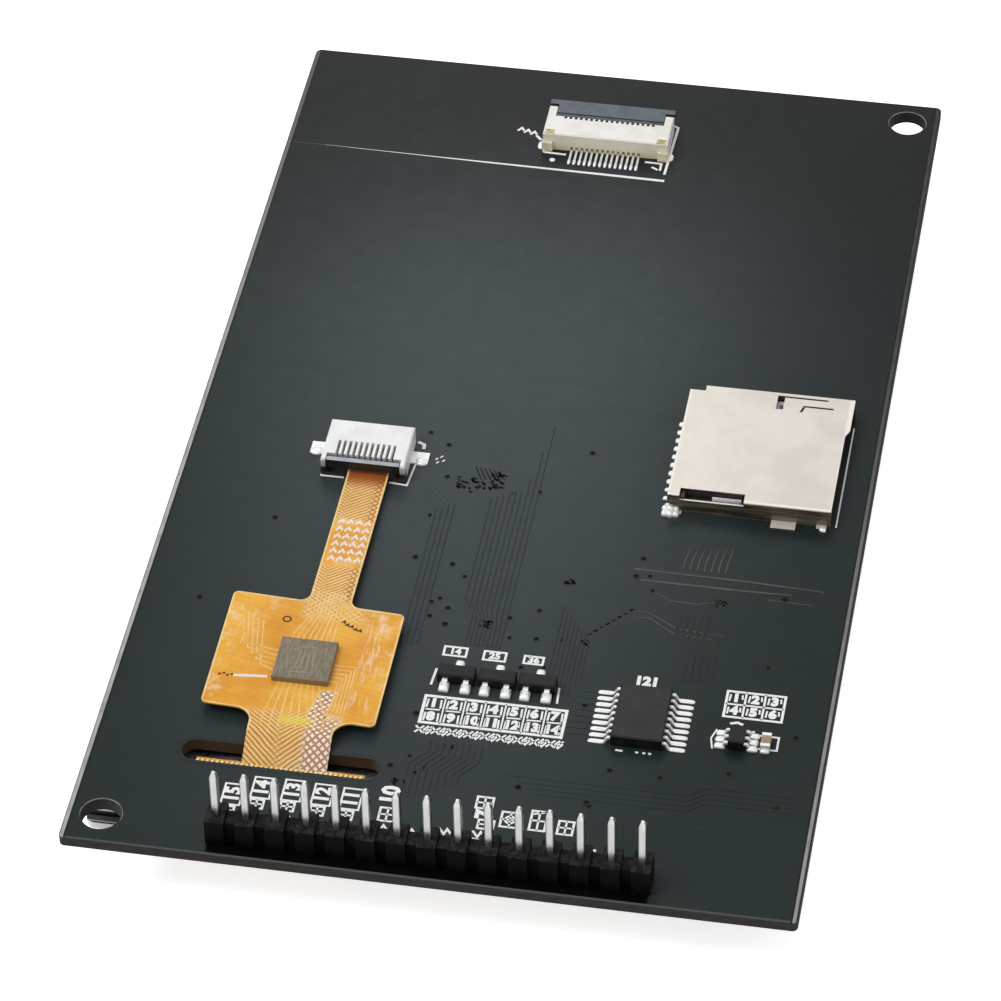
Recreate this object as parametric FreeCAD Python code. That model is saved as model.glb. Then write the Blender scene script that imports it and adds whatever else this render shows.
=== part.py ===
import FreeCAD, Part
import math
import os

from FreeCAD import Vector

# A small colour display with a touch screen, soldered and taped to its carrier board.
# All sizes are millimetres. The module lies on its display face: z = 0 is the outer face of the
# cover glass, the component side of the board looks up (+Z), the pin header is at the -Y edge and
# the spare flex connector at the +Y edge. The origin is under the board's centre.

# Circuit board
board_width = 61.74
board_length = 108.04
board_thickness = 1.2
board_corner_radius = 0.5
board_edge_bevel = 0.12
mount_hole_radius = 1.7
mount_hole_inset = 3.0
slot_length = 17.0
slot_width = 2.4
slot_from_left = 16.47
slot_from_bottom = 11.62

# Display and touch panel: plan sizes
cover_side_gap = 0.42
cover_end_gap = 6.52
cover_width = board_width - 2 * cover_side_gap
cover_length = board_length - 2 * cover_end_gap
cover_corner_radius = 0.8
touch_layer_inset = 0.15
display_side_inset = 0.25
display_end_inset = 0.5
display_width = cover_width - 2 * display_side_inset
display_length = cover_length - 2 * display_end_inset
window_side_rim = 2.0
window_front_rim = 6.4
window_back_rim = 3.2
window_width = display_width - 2 * window_side_rim
window_length = display_length - window_front_rim - window_back_rim
window_above_middle = (window_front_rim - window_back_rim) / 2
glass_side_wall = 0.9
glass_end_wall = 1.0
glass_width = display_width - 2 * glass_side_wall
glass_length = display_length - 2 * glass_end_wall
glass_ledge = 4.5
frame_play = 0.1
guide_side_wall = 1.6
guide_behind_filter = 0.9
guide_width = display_width - 2 * guide_side_wall
light_bay = 4.0
film_play = 0.1

# Display and touch panel: thicknesses, from the cover glass up to the board
cover_thickness = 0.7
adhesive_thickness = 0.15
sensor_thickness = 0.55
gasket_thickness = 0.3
front_polarizer_thickness = 0.2
filter_glass_thickness = 0.4
array_glass_thickness = 0.4
rear_polarizer_thickness = 0.15
film_thickness = 0.1
light_guide_thickness = 0.5
reflector_thickness = 0.08
shield_thickness = 0.2
tape_thickness = 0.5

# Parts inside the display
driver_width = 18.0
driver_length = 1.2
driver_thickness = 0.3
led_count = 8
led_width = 3.0
led_length = 1.0
led_end_gap = 3.3
led_pitch = (guide_width - led_width - 2 * led_end_gap) / (led_count - 1)
shield_fold_depth = 1.5
tape_width = 6.0
tape_end_gap = 8.0
tape_length = display_length - 2 * tape_end_gap
tape_inset = 1.5

# Flex cables
flex_thickness = 0.15
bond_length = 1.8
display_flex_x = 7.0
display_flex_width = 24.0
display_flex_run = 9.5
flex_overhang = 0.6
touch_root_width = 14.4
touch_root_gap = 0.175
slot_clearance = 0.15
shoulder_from_slot = -0.2
neck_width = 7.3
neck_offset = 0.3
flex_pad_width = 15.2
flex_pad_offset = -0.3
flex_pad_near = 4.3
flex_pad_far = 18.1
flex_pad_slope = 0.05
flex_lift = 0.95
flex_lower_bend = 1.0
flex_upper_bend = 1.5
tail_width = 3.7
tail_offset = 0.6
pad_corner_radius = 0.5
neck_fillet = 1.5
tail_fillet = 0.9
touch_chip_side = 4.9
touch_chip_height = 0.6
touch_chip_from_slot = 10.5

# Pin header
pin_count = 15
pin_pitch = 2.54
pin_side = 0.64
pin_above_block = 4.8
pin_below_board = 1.5
pin_point = 0.5
pin_point_share = 0.35
header_from_bottom = 2.32
header_height = 2.54
header_block_side = 2.44
header_tooth_width = 1.6
header_web_width = 1.5
header_web_drop = 0.35
pin_hole_radius = 0.5
joint_base_radius = 0.95
joint_tip_radius = 0.5
joint_height = 0.9

# Flex connectors, shared sizes
connector_height = 1.9
contact_pitch = 0.5
contact_width = 0.2
contact_thickness = 0.12
contact_groove = 0.28
contact_reach = 3.9
contact_rise_start = 0.5
contact_rise_end = 0.75
contact_bend = 0.1
connector_floor = 0.47
connector_mouth_top = 0.85
connector_back_wall = 0.8
latch_underside = 1.0
pivot_height = 1.4
barrel_radius = 0.4
trunnion_radius = 0.26
trunnion_play = 0.06
trunnion_length = 0.22
latch_side_play = 0.07
slit_width = 0.27
connector_bevel = 0.12
flex_insertion = 1.1

# Touch connector, with the touch flex in it
touch_connector = {
    "width": 7.6, "contacts": 11, "slits": 11, "slit_start": 2.75, "roof_end": 4.55,
    "pivot": 5.05, "latch_end": 5.5, "ear_width": 0.42, "ear_end": 5.5, "head_start": None,
    "tail": 0.6, "tab": (-0.3, 1.55, 1.35, 2.85, 0.15),
}
touch_connector_offset = 0.1
touch_connector_from_slot = 40.85

# Spare connector near the top edge, empty and closed
spare_connector = {
    "width": 12.1, "contacts": 14, "slits": 18, "slit_start": 2.5, "roof_end": 2.8,
    "pivot": 3.35, "latch_end": 5.3, "ear_width": 0.8, "ear_end": 4.35, "head_start": 4.62,
    "tail": 2.0, "tab": (-0.95, 0.06, -0.35, 0.45, 0.95),
}
spare_connector_offset = -0.2
spare_connector_from_top = 12.1

# Memory card socket; its own corner is at its left bottom, the card goes in from the right
card_from_right = 2.87
card_above_middle = -6.9
card_depth = 14.9
card_width = 15.15
card_height = 1.9
card_sheet = 0.18
card_fold_radius = 0.3
card_floor_bottom = 0.1
card_floor_top = 0.45
card_wall_top = 1.62
card_side_play = 0.03
card_base_start = 0.3
card_base_end = 0.4
card_rear_wall = 1.4
card_rail = 1.25
card_outer_wall = 0.39
card_channel_width = 1.75
card_partition = 0.3
card_partition_start = 7.6
card_channel_end = card_width - card_sheet - card_side_play - card_outer_wall
card_bay_end = card_channel_end - card_channel_width - card_partition
card_notch_depth = 1.05
card_notch_length = 6.8
card_mouth_relief = 0.35
card_mouth_lip = 1.5
card_edge_relief = 0.2
card_contacts = 8
card_contact_pitch = 1.1
card_contact_offset = 0.575
card_contact_width = 0.42
card_contact_tail = 0.5
card_contact_rise = 1.6
card_contact_slope = (3.0, 0.07)
card_contact_slope_bend = 2.0
card_contact_crest = (5.8, 0.47)
card_contact_crest_bend = 0.4
card_contact_tip = (6.5, 0.27)
card_contact_room = 0.05
card_corner_notch = 0.9
slider_start = 5.9
slider_length = 6.0
slider_travel = 3.0
slider_side_play = 0.15
slider_bottom = 0.55
slider_top = 1.36
slider_arm_length = 1.2
slider_arm_overlap = 0.7
spring_turns = 8
spring_coil_radius = 0.33
spring_wire_radius = 0.06
spring_height = 1.0
spring_peg_radius = 0.2
spring_peg_length = 0.45
cam_wire_radius = 0.1
cam_leg = 8.5
cam_height = 1.56
cam_groove_width = 0.6
cam_groove_floor = 1.05
cam_pivot = 12.6
cam_leg_lift = 0.1
cam_pivot_depth = 0.66

# Cuts that free the leaf spring in the socket's roof: left, right, and how far in from the far side
leaf_keyhole = (7.95, 8.6, 2.4, 0.55)
leaf_slit = (8.6, 12.5, 0.75, 0.55)
leaf_hook = (10.45, 13.1, 1.8, 1.6)
leaf_hook_leg = ((10.1, 2.5), (10.35, 2.5), (10.62, 1.6), (10.4, 1.6))

# Ground tabs of the socket's shell: left end, right end and how far each stands out
card_near_tabs = ((9.3, 11.5, 1.0), (0.3, 1.3, 0.45), (13.3, 14.2, 0.5))
card_far_tabs = ((2.0, 4.2, 0.8), (11.0, 13.2, 0.8))

# Solder at the socket's outer corners: place and radius
card_solder_blobs = ((0.35, -0.2, 0.85), (13.9, -0.45, 0.35))

# Detect strips in the socket's notch: left, right, front, back and height above the rail's step
detect_step = 0.9
detect_lower = (1.7, 6.4, 0.3, 0.55, 0.15)
detect_upper = (3.9, 6.5, 0.68, 0.9, 0.45)

# Level shifter: a flat package with gull leads on both long sides
shifter_from_right = 16.0
shifter_from_bottom = 20.75
shifter_width = 4.4
shifter_length = 6.4
shifter_height = 1.1
shifter_leads_per_side = 9
shifter_lead_pitch = 0.73
shifter_span = 7.6

# Small transistors in a row, and the voltage regulator
transistor_count = 3
transistor_pitch = 3.5
transistor_from_middle = 2.05
transistor_from_bottom = 23.35
transistor_width = 3.2
transistor_length = 1.4
transistor_height = 1.0
transistor_lead_spacing = 1.84
transistor_span = 2.8
regulator_from_right = 7.7
regulator_from_bottom = 19.6
regulator_width = 1.35
regulator_length = 2.1
regulator_height = 1.0
regulator_lead_pitch = 0.75
regulator_span = 3.0
capacitor_width = 0.8
capacitor_length = 1.6
capacitor_height = 0.75
capacitor_band = 0.32
capacitor_from_regulator = 2.45

# Gull leads of every small package
package_standoff = 0.1
package_bevel = 0.12
lead_thickness = 0.16
lead_width = 0.28
lead_bend = 0.15
lead_shoulder = 0.25
lead_slope = 0.3
wide_lead_width = 0.45

# Levels, from the cover glass up
sensor_bottom = cover_thickness + adhesive_thickness
sensor_top = sensor_bottom + sensor_thickness
display_front = sensor_top + gasket_thickness
filter_bottom = display_front + front_polarizer_thickness
array_bottom = filter_bottom + filter_glass_thickness
array_top = array_bottom + array_glass_thickness
film_bottom = array_top + rear_polarizer_thickness
guide_bottom = film_bottom + 3 * film_thickness
guide_top = guide_bottom + light_guide_thickness
shield_bottom = guide_top + reflector_thickness
shield_top = shield_bottom + shield_thickness
board_bottom = shield_top + tape_thickness
board_top = board_bottom + board_thickness

# Places in plan
board_left = -board_width / 2
board_right = board_width / 2
board_front = -board_length / 2
board_back = board_length / 2
slot_x = board_left + slot_from_left
slot_y = board_front + slot_from_bottom
header_y = board_front + header_from_bottom
touch_connector_x = slot_x + touch_connector_offset
touch_connector_y = slot_y + touch_connector_from_slot
spare_connector_y = board_back - spare_connector_from_top
card_x = board_right - card_from_right - card_depth
glass_front = -glass_length / 2
glass_back = glass_length / 2
filter_front = glass_front + glass_ledge
guide_back = glass_back - film_play
guide_front = filter_front + guide_behind_filter


def box(x0, x1, y0, y1, z0, z1):
    """A block between two corners."""
    return Part.makeBox(x1 - x0, y1 - y0, z1 - z0, Vector(x0, y0, z0))


def sheet(width, length, z0, thickness):
    """A flat rectangular sheet, centred over the origin."""
    return box(-width / 2, width / 2, -length / 2, length / 2, z0, z0 + thickness)


def rod(radius, start, direction, length):
    """A round rod from a start point."""
    return Part.makeCylinder(radius, length, Vector(*start), Vector(*direction))


def placed(shape, x=0.0, y=0.0, z=0.0, turn=0.0):
    """A copy of a shape, turned about the vertical axis and then moved."""
    copy = shape.copy()
    copy.rotate(Vector(0, 0, 0), Vector(0, 0, 1), turn)
    copy.translate(Vector(x, y, z))
    return copy


def row(count, pitch):
    """Evenly spaced positions, centred on zero."""
    return [(i - (count - 1) / 2) * pitch for i in range(count)]


def fused(shapes):
    """One solid from several that touch or cross."""
    return shapes[0].multiFuse(shapes[1:]).removeSplitter()


def round_upright_edges(shape, radius):
    """Rounds the vertical edges of a block."""
    edges = [e for e in shape.Edges if abs(e.tangentAt(e.FirstParameter).z) > 0.999]
    return shape.makeFillet(radius, edges)


def bevel_rim(shape, size, levels):
    """Bevels every edge that lies flat at one of the levels."""
    edges = []
    for edge in shape.Edges:
        for level in levels:
            if edge.BoundBox.ZLength < 1e-6 and abs(edge.BoundBox.ZMin - level) < 1e-6:
                edges.append(edge)
    return shape.makeChamfer(size, edges)


def corner_arc(before, corner, after, radius):
    """Start, middle and end of the arc that rounds a corner, tangent to both sides."""
    side_in = (before - corner).normalize()
    side_out = (after - corner).normalize()
    half = side_in.getAngle(side_out) / 2
    reach = radius / math.tan(half)
    inward = (side_in + side_out).normalize()
    middle = corner + inward * (radius / math.sin(half) - radius)
    return corner + side_in * reach, middle, corner + side_out * reach


def path_edges(points, radii, closed):
    """Straight and round edges along points; each point has a corner radius, 0 for a sharp one."""
    count = len(points)
    stops = []
    for i in range(count):
        sharp = radii[i] == 0 or (not closed and i in (0, count - 1))
        if sharp:
            stops.append((points[i], None, points[i]))
        else:
            stops.append(corner_arc(points[i - 1], points[i], points[(i + 1) % count], radii[i]))
    edges = []
    for i in range(count):
        start, middle, end = stops[i]
        if middle is not None:
            edges.append(Part.Arc(start, middle, end).toShape())
        if i == count - 1 and not closed:
            break
        following = stops[(i + 1) % count][0]
        if end.distanceToPoint(following) > 1e-6:
            edges.append(Part.makeLine(end, following))
    return edges


def plan_prism(corners, z0, z1):
    """An upright prism over a plan outline given as (x, y, corner radius)."""
    points = [Vector(x, y, z0) for x, y, radius in corners]
    radii = [radius for x, y, radius in corners]
    face = Part.Face(Part.Wire(path_edges(points, radii, True)))
    return face.extrude(Vector(0, 0, z1 - z0))


def side_path(path, offset):
    """A bend line moved sideways; path holds (y, z, bend radius), and bends keep their centres."""
    moved = []
    count = len(path)
    for i in range(count):
        point = Vector(0, path[i][0], path[i][1])
        normals = []
        for j in (i - 1, i):
            if 0 <= j < count - 1:
                along = Vector(0, path[j + 1][0] - path[j][0], path[j + 1][1] - path[j][1])
                along.normalize()
                normals.append(Vector(0, -along.z, along.y))
        if len(normals) == 1:
            moved.append((point + normals[0] * offset, 0))
            continue
        first, second = normals
        mitre = (first + second) * (offset / (1 + first.dot(second)))
        turn = math.copysign(1, first.cross(second).x)
        moved.append((point + mitre, path[i][2] - turn * offset))
    return moved


def strip(path, thickness, width):
    """A bent strip of even thickness; its bend line lies in the YZ plane, its width along X."""
    near = side_path(path, thickness / 2)
    far = side_path(path, -thickness / 2)
    near_edges = path_edges([p for p, r in near], [r for p, r in near], False)
    far_edges = path_edges([p for p, r in far], [r for p, r in far], False)
    ends = [Part.makeLine(near[0][0], far[0][0]), Part.makeLine(near[-1][0], far[-1][0])]
    wire = Part.Wire(Part.__sortEdges__(near_edges + ends + far_edges))
    solid = Part.Face(wire).extrude(Vector(width, 0, 0))
    solid.translate(Vector(-width / 2, 0, 0))
    return solid


def circuit_board():
    """The carrier board with its two screw holes, the flex slot and the header holes."""
    plate = sheet(board_width, board_length, board_bottom, board_thickness)
    plate = round_upright_edges(plate, board_corner_radius)
    plate = bevel_rim(plate, board_edge_bevel, (board_bottom, board_top))
    drill = board_thickness + 2
    start = board_bottom - 1
    x = board_right - mount_hole_inset
    y = board_back - mount_hole_inset
    cuts = [rod(mount_hole_radius, (-x, -y, start), (0, 0, 1), drill)]
    cuts.append(rod(mount_hole_radius, (x, y, start), (0, 0, 1), drill))
    for pin_x in row(pin_count, pin_pitch):
        cuts.append(rod(pin_hole_radius, (pin_x, header_y, start), (0, 0, 1), drill))
    slot = sheet(slot_length, slot_width, start, drill)
    slot = round_upright_edges(slot, slot_width / 2 - 0.01)
    cuts.append(placed(slot, slot_x, slot_y))
    return plate.cut(cuts)


def cover_glass():
    """The outer glass of the touch panel, which the module lies on."""
    glass = sheet(cover_width, cover_length, 0, cover_thickness)
    return round_upright_edges(glass, cover_corner_radius)


def touch_layer(z0, thickness):
    """A sheet of the touch panel a little smaller than the cover glass."""
    return sheet(cover_width - 2 * touch_layer_inset, cover_length - 2 * touch_layer_inset, z0, thickness)


def touch_bond_end():
    """The inner end of the touch flex where it is bonded to the sensor's ledge."""
    return -display_length / 2 + bond_length


def gasket_tape():
    """Tape ring between the touch panel and the display, open where the touch flex is bonded."""
    ring = sheet(display_width, display_length, sensor_top, gasket_thickness)
    window = sheet(window_width, window_length, sensor_top - 1, gasket_thickness + 2)
    window = placed(window, 0, window_above_middle)
    half = touch_root_width / 2 + slot_clearance
    relief = box(slot_x - half, slot_x + half, -display_length / 2 - 1,
                 touch_bond_end() + slot_clearance, sensor_top - 1, display_front + 1)
    return ring.cut([window, relief])


def front_polarizer():
    return box(-glass_width / 2, glass_width / 2, filter_front, glass_back, display_front, filter_bottom)


def color_filter_glass():
    return box(-glass_width / 2, glass_width / 2, filter_front, glass_back, filter_bottom, array_bottom)


def array_glass():
    """The rear display glass, longer than the front one by the ledge for chip and flex."""
    return box(-glass_width / 2, glass_width / 2, glass_front, glass_back, array_bottom, array_top)


def rear_polarizer():
    return box(-glass_width / 2, glass_width / 2, filter_front, glass_back, array_top, film_bottom)


def driver_chip():
    """The bare driver chip on the glass ledge, between the front glass and the flex."""
    middle = (filter_front + glass_front + bond_length) / 2
    chip = sheet(driver_width, driver_length, array_bottom - driver_thickness, driver_thickness)
    return placed(chip, display_flex_x, middle)


def backlight_sheet(z0, thickness):
    """A film or plate of the backlight, with the light bay left free in front of it."""
    return box(-guide_width / 2, guide_width / 2, guide_front, guide_back, z0, z0 + thickness)


def backlight_films():
    """Diffuser and two prism films, each a sheet of its own."""
    return [backlight_sheet(film_bottom + i * film_thickness, film_thickness) for i in range(3)]


def led_row_y():
    return guide_front - film_play - led_length / 2


def backlight_leds():
    """Side emitting lamps in a row against the light guide's front edge."""
    lamps = []
    for x in row(led_count, led_pitch):
        lamp = sheet(led_width, led_length, guide_bottom, light_guide_thickness)
        lamps.append(placed(lamp, x, led_row_y()))
    return Part.makeCompound(lamps)


def led_strip():
    """The narrow flex that carries the lamps."""
    half = guide_width / 2
    front = glass_front + glass_ledge - light_bay
    return box(-half, half, front, guide_front - film_play, guide_top, shield_bottom)


def backlight_frame():
    """White plastic frame: a pocket for the glass and a smaller one for the backlight."""
    ring = sheet(display_width, display_length, display_front, shield_bottom - display_front)
    pocket = sheet(glass_width + 2 * frame_play, glass_length + 2 * frame_play,
                   display_front - 1, film_bottom - display_front + 1)
    half = guide_width / 2 + film_play
    light_room = box(-half, half, glass_front + film_play, guide_back + film_play,
                     film_bottom - 1, shield_bottom + 1)
    flex_half = display_flex_width / 2 + frame_play
    flex_gate = box(display_flex_x - flex_half, display_flex_x + flex_half,
                    -display_length / 2 - 1, glass_front, display_front - 1, array_bottom + frame_play)
    return ring.cut([pocket, light_room, flex_gate])


def rear_shield():
    """Thin sheet metal pan behind the backlight, folded down along three sides."""
    outer_half = display_width / 2 + shield_thickness
    back = display_length / 2 + shield_thickness
    front = -display_length / 2
    low = shield_bottom - shield_fold_depth
    pan = box(-outer_half, outer_half, front, back, low, shield_top)
    room = box(-display_width / 2, display_width / 2, front - 1, display_length / 2, low - 1, shield_bottom)
    return pan.cut(room)


def mounting_tape():
    """Foam tape strips that hold the display to the board, one along each side."""
    strips = []
    for side in (-1, 1):
        x = side * (display_width / 2 - tape_inset - tape_width / 2)
        tape = sheet(tape_width, tape_length, shield_top, tape_thickness)
        strips.append(placed(tape, x, window_above_middle))
    return Part.makeCompound(strips)


def display_flex():
    """The display's own flex: from the glass ledge round the display's end to the board's pads."""
    low = array_bottom - flex_thickness / 2
    high = board_bottom - flex_thickness / 2
    bend = (high - low) / 2
    turn_y = -display_length / 2 - flex_overhang - bend
    path = [(glass_front + bond_length, low, 0), (turn_y, low, bend), (turn_y, high, bend),
            (-display_length / 2 + display_flex_run, high, 0)]
    return placed(strip(path, flex_thickness, display_flex_width), display_flex_x)


def flex_rise():
    """Slope of the touch flex through the slot, clear of the slot's lower and upper lip."""
    return (board_thickness + 2 * slot_clearance) / slot_width


def flex_rise_y(z):
    """Where the rising stretch of the touch flex reaches a height."""
    return slot_y - slot_width / 2 + (z - board_bottom + slot_clearance) / flex_rise()


def touch_flex_path():
    """Bend line of the touch flex, from the sensor's ledge to the touch connector."""
    low = sensor_top + flex_thickness / 2
    under = board_bottom - touch_root_gap - flex_thickness / 2
    over = board_top + flex_lift
    entry = board_top + connector_floor + flex_thickness / 2 + 0.01
    bend = (under - low) / 2
    turn_y = -cover_length / 2 - flex_overhang - bend
    mouth_y = touch_connector_y - touch_connector["latch_end"]
    return [(touch_bond_end(), low, 0), (turn_y, low, bend), (turn_y, under, bend),
            (flex_rise_y(under), under, flex_lower_bend), (flex_rise_y(over), over, flex_upper_bend),
            (slot_y + flex_pad_far, over, 12.0), (mouth_y - 1.5, entry, 12.0),
            (touch_connector_y - flex_insertion, entry, 0)]


def touch_flex_outline():
    """Plan outline of the touch flex above the board: neck, chip area and narrow tail."""
    neck_x = slot_x + neck_offset
    pad_x = slot_x + flex_pad_offset
    tail_x = slot_x + tail_offset
    near_y = slot_y + flex_pad_near
    far_y = slot_y + flex_pad_far
    start_y = slot_y + shoulder_from_slot

    def corner(x, y, radius):
        return (x, y - flex_pad_slope * (x - pad_x), radius)

    neck_left, neck_right = neck_x - neck_width / 2, neck_x + neck_width / 2
    pad_left, pad_right = pad_x - flex_pad_width / 2, pad_x + flex_pad_width / 2
    tail_left, tail_right = tail_x - tail_width / 2, tail_x + tail_width / 2
    return [(neck_left, start_y, 0), corner(neck_left, near_y, neck_fillet),
            corner(pad_left, near_y, pad_corner_radius), corner(pad_left, far_y, pad_corner_radius),
            corner(tail_left, far_y, tail_fillet), (tail_left, touch_connector_y, 0),
            (tail_right, touch_connector_y, 0), corner(tail_right, far_y, tail_fillet),
            corner(pad_right, far_y, pad_corner_radius), corner(pad_right, near_y, pad_corner_radius),
            corner(neck_right, near_y, neck_fillet), (neck_right, start_y, 0)]


def touch_flex():
    """The touch flex: a wide root under the board, through the slot, then its shaped upper part."""
    ribbon = strip(touch_flex_path(), flex_thickness, 2 * board_width)
    shoulder_y = slot_y + shoulder_from_slot
    reach = board_top + flex_lift + 1
    half = touch_root_width / 2
    root = box(slot_x - half, slot_x + half, board_front, shoulder_y, 0, reach)
    upper = plan_prism(touch_flex_outline(), board_bottom, reach)
    return fused([ribbon.common(root), ribbon.common(upper)])


def touch_chip():
    """The touch controller on the flex's wide area."""
    low = board_top + flex_lift + flex_thickness / 2
    chip = sheet(touch_chip_side, touch_chip_side, low, touch_chip_height)
    chip = bevel_rim(chip, package_bevel / 2, (low + touch_chip_height,))
    return placed(chip, slot_x, slot_y + touch_chip_from_slot)


def header_block():
    """The header's plastic: one square tooth for each pin, joined by a narrower web."""
    length = pin_count * pin_pitch
    top = board_top + header_height
    web = box(-length / 2 + pin_pitch / 2, length / 2 - pin_pitch / 2, -header_web_width / 2,
              header_web_width / 2, board_top, top - header_web_drop)
    parts = [web]
    for x in row(pin_count, pin_pitch):
        tooth = sheet(header_tooth_width, header_block_side, board_top, header_height)
        parts.append(placed(tooth, x))
    block = placed(fused(parts), 0, header_y)
    return block.cut(header_pins())


def header_pins():
    """Square pins, pointed at both ends."""
    low = board_bottom - pin_below_board
    high = board_top + header_height + pin_above_block
    half = pin_side / 2
    pins = []
    for x in row(pin_count, pin_pitch):
        shank = box(x - half, x + half, header_y - half, header_y + half, low + pin_point, high - pin_point)
        tips = [pin_tip(x, high - pin_point, pin_point), pin_tip(x, low + pin_point, -pin_point)]
        pins.append(fused([shank] + tips))
    return Part.makeCompound(pins)


def pin_tip(x, z, rise):
    """The tapered end of a pin, from its full section to a small flat."""
    def square(side, level):
        h = side / 2
        signs = ((-1, -1), (1, -1), (1, 1), (-1, 1))
        corners = [Vector(x + a * h, header_y + b * h, level) for a, b in signs]
        return Part.makePolygon(corners + corners[:1])
    return Part.makeLoft([square(pin_side, z), square(pin_side * pin_point_share, z + rise)], True)


def header_solder():
    """Solder cones round the pins on the display side of the board."""
    cones = []
    for x in row(pin_count, pin_pitch):
        cone = Part.makeCone(joint_tip_radius, joint_base_radius, joint_height,
                             Vector(x, header_y, board_bottom - joint_height))
        cones.append(cone)
    return Part.makeCompound(cones).cut(header_pins())


def connector_roof_slits(c):
    """Slits through the roof over the contacts, open towards the latch."""
    start, end = c["slit_start"], c["roof_end"] + 0.5
    half = slit_width / 2
    return [box(x - half, x + half, start, end, connector_mouth_top - 0.01, connector_height + 1)
            for x in row(c["slits"], contact_pitch)]


def connector_tab_box(c, grow=0.0):
    """The right solder tab's block; the same block, grown a little, clears the housing for it."""
    x0, x1, y0, y1, z1 = c["tab"]
    side = c["width"] / 2
    return box(side + x0 - grow, side + x1, y0, y1 + grow, 0, z1 + grow)


def mirrored(shape):
    """The same shape on the other side of the YZ plane."""
    return shape.mirror(Vector(0, 0, 0), Vector(1, 0, 0))


def connector_housing(c):
    """Moulded housing: floor, back wall, roof with slits and two ears that carry the latch."""
    half = c["width"] / 2
    inner = half - c["ear_width"]
    mouth = (c["contacts"] + 1) * contact_pitch / 2 + 0.05
    block = box(-half, half, 0, c["ear_end"], 0, connector_height)
    block = bevel_rim(block, connector_bevel, (connector_height,))
    cuts = [box(-inner, inner, c["roof_end"], c["ear_end"] + 1, connector_floor, connector_height + 1)]
    mouth_end = c["ear_end"] + 1
    cuts.append(box(-mouth, mouth, connector_back_wall, mouth_end, connector_floor, connector_mouth_top))
    groove = contact_groove / 2
    for x in row(c["contacts"], contact_pitch):
        cuts.append(box(x - groove, x + groove, -1, contact_reach + 0.1, -1, connector_floor + 0.01))
    cuts += connector_roof_slits(c)
    cuts += [connector_tab_box(c, 0.02), mirrored(connector_tab_box(c, 0.02))]
    depth = trunnion_length + latch_side_play
    for side in (-1, 1):
        hole = rod(trunnion_radius + trunnion_play, (side * (inner - 0.1), c["pivot"], pivot_height),
                   (side, 0, 0), depth + 0.1)
        cuts.append(hole)
    return block.cut(cuts)


def connector_latch(c):
    """Flip latch: a flat lever with a round back and two trunnions in the housing's ears."""
    inner = c["width"] / 2 - c["ear_width"] - latch_side_play
    parts = [rod(barrel_radius, (-inner, c["pivot"], pivot_height), (1, 0, 0), 2 * inner)]
    parts.append(box(-inner, inner, c["pivot"], c["latch_end"], latch_underside, connector_height))
    if c["head_start"] is not None:
        half = c["width"] / 2
        parts.append(box(-half, half, c["head_start"], c["latch_end"], latch_underside, connector_height))
    span = inner + trunnion_length
    parts.append(rod(trunnion_radius, (-span, c["pivot"], pivot_height), (1, 0, 0), 2 * span))
    return fused(parts)


def connector_contacts(c):
    """Bent spring contacts, from their solder tails to the mouth."""
    t = contact_thickness
    bend = contact_bend
    path = [(-c["tail"], t / 2, 0), (contact_rise_start, t / 2, bend),
            (contact_rise_end, connector_floor - t / 2, bend), (contact_reach, connector_floor - t / 2, 0)]
    one = strip(path, t, contact_width)
    return Part.makeCompound([placed(one, x) for x in row(c["contacts"], contact_pitch)])


def connector_tabs(c):
    """The two solder tabs that anchor the housing to the board."""
    right = connector_tab_box(c)
    return Part.makeCompound([right, mirrored(right)])


def connector_parts(prefix, c, x, y, turn):
    """All four pieces of a flex connector, set down on the board."""
    makers = {"housing": connector_housing, "latch": connector_latch,
              "contacts": connector_contacts, "solder_tabs": connector_tabs}
    return {prefix + "_" + name: placed(make(c), x, y, board_top, turn) for name, make in makers.items()}


def card_place(shape):
    """Sets a piece of the card socket down at the socket's corner on the board."""
    return placed(shape, card_x, card_above_middle, board_top)


def card_slits():
    """The T shaped cut and the hooked cut that free the leaf spring in the roof."""
    low, high = card_height / 2, card_height + 1
    slits = [box(left, right, card_width - near, card_width - far, low, high)
             for left, right, near, far in (leaf_keyhole, leaf_slit, leaf_hook)]
    slits.append(plan_prism([(x, card_width - inset, 0) for x, inset in leaf_hook_leg], low, high))
    return slits


def card_shell():
    """Folded sheet metal cover with its roof notches, leaf spring cuts and ground tabs."""
    def tunnel(side_gap, top, radius, reach):
        room = box(-reach, card_depth + reach, side_gap, card_width - side_gap, 0, top)
        edges = [e for e in room.Edges if e.BoundBox.XLength > 1 and e.BoundBox.ZMin > top - 0.01]
        return room.makeFillet(radius, edges)
    skin = tunnel(0, card_height, card_fold_radius, 0)
    room = tunnel(card_sheet, card_height - card_sheet, card_fold_radius - card_sheet, 1)
    high = card_height + 1
    cuts = [room, box(-1, card_rear_wall, card_width - card_corner_notch, card_width + 1, -1, high)]
    cuts.append(box(-1, card_notch_length, -1, card_notch_depth, card_wall_top - 0.2, high))
    cuts.append(box(-1, card_edge_relief, -1, card_notch_depth, -1, high))
    relief = card_depth - card_mouth_relief
    slant = card_bay_end - card_mouth_lip
    cuts.append(plan_prism([(relief, -1, 0), (card_depth + 1, -1, 0), (card_depth + 1, slant, 0),
                            (card_depth, slant - 0.2, 0), (relief, slant - 1, 0)], -1, high))
    cuts += card_slits()
    shell = skin.cut(cuts)
    tabs = [box(left, right, -out, card_sheet, 0, card_sheet) for left, right, out in card_near_tabs]
    for left, right, out in card_far_tabs:
        tabs.append(box(left, right, card_width - card_sheet, card_width + out, 0, card_sheet))
    return fused([shell] + tabs)


def card_contact_rows():
    """Places of the card contacts across the socket."""
    middle = (card_rail + card_bay_end) / 2 + card_contact_offset
    return [middle + y for y in row(card_contacts, card_contact_pitch)]


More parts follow.
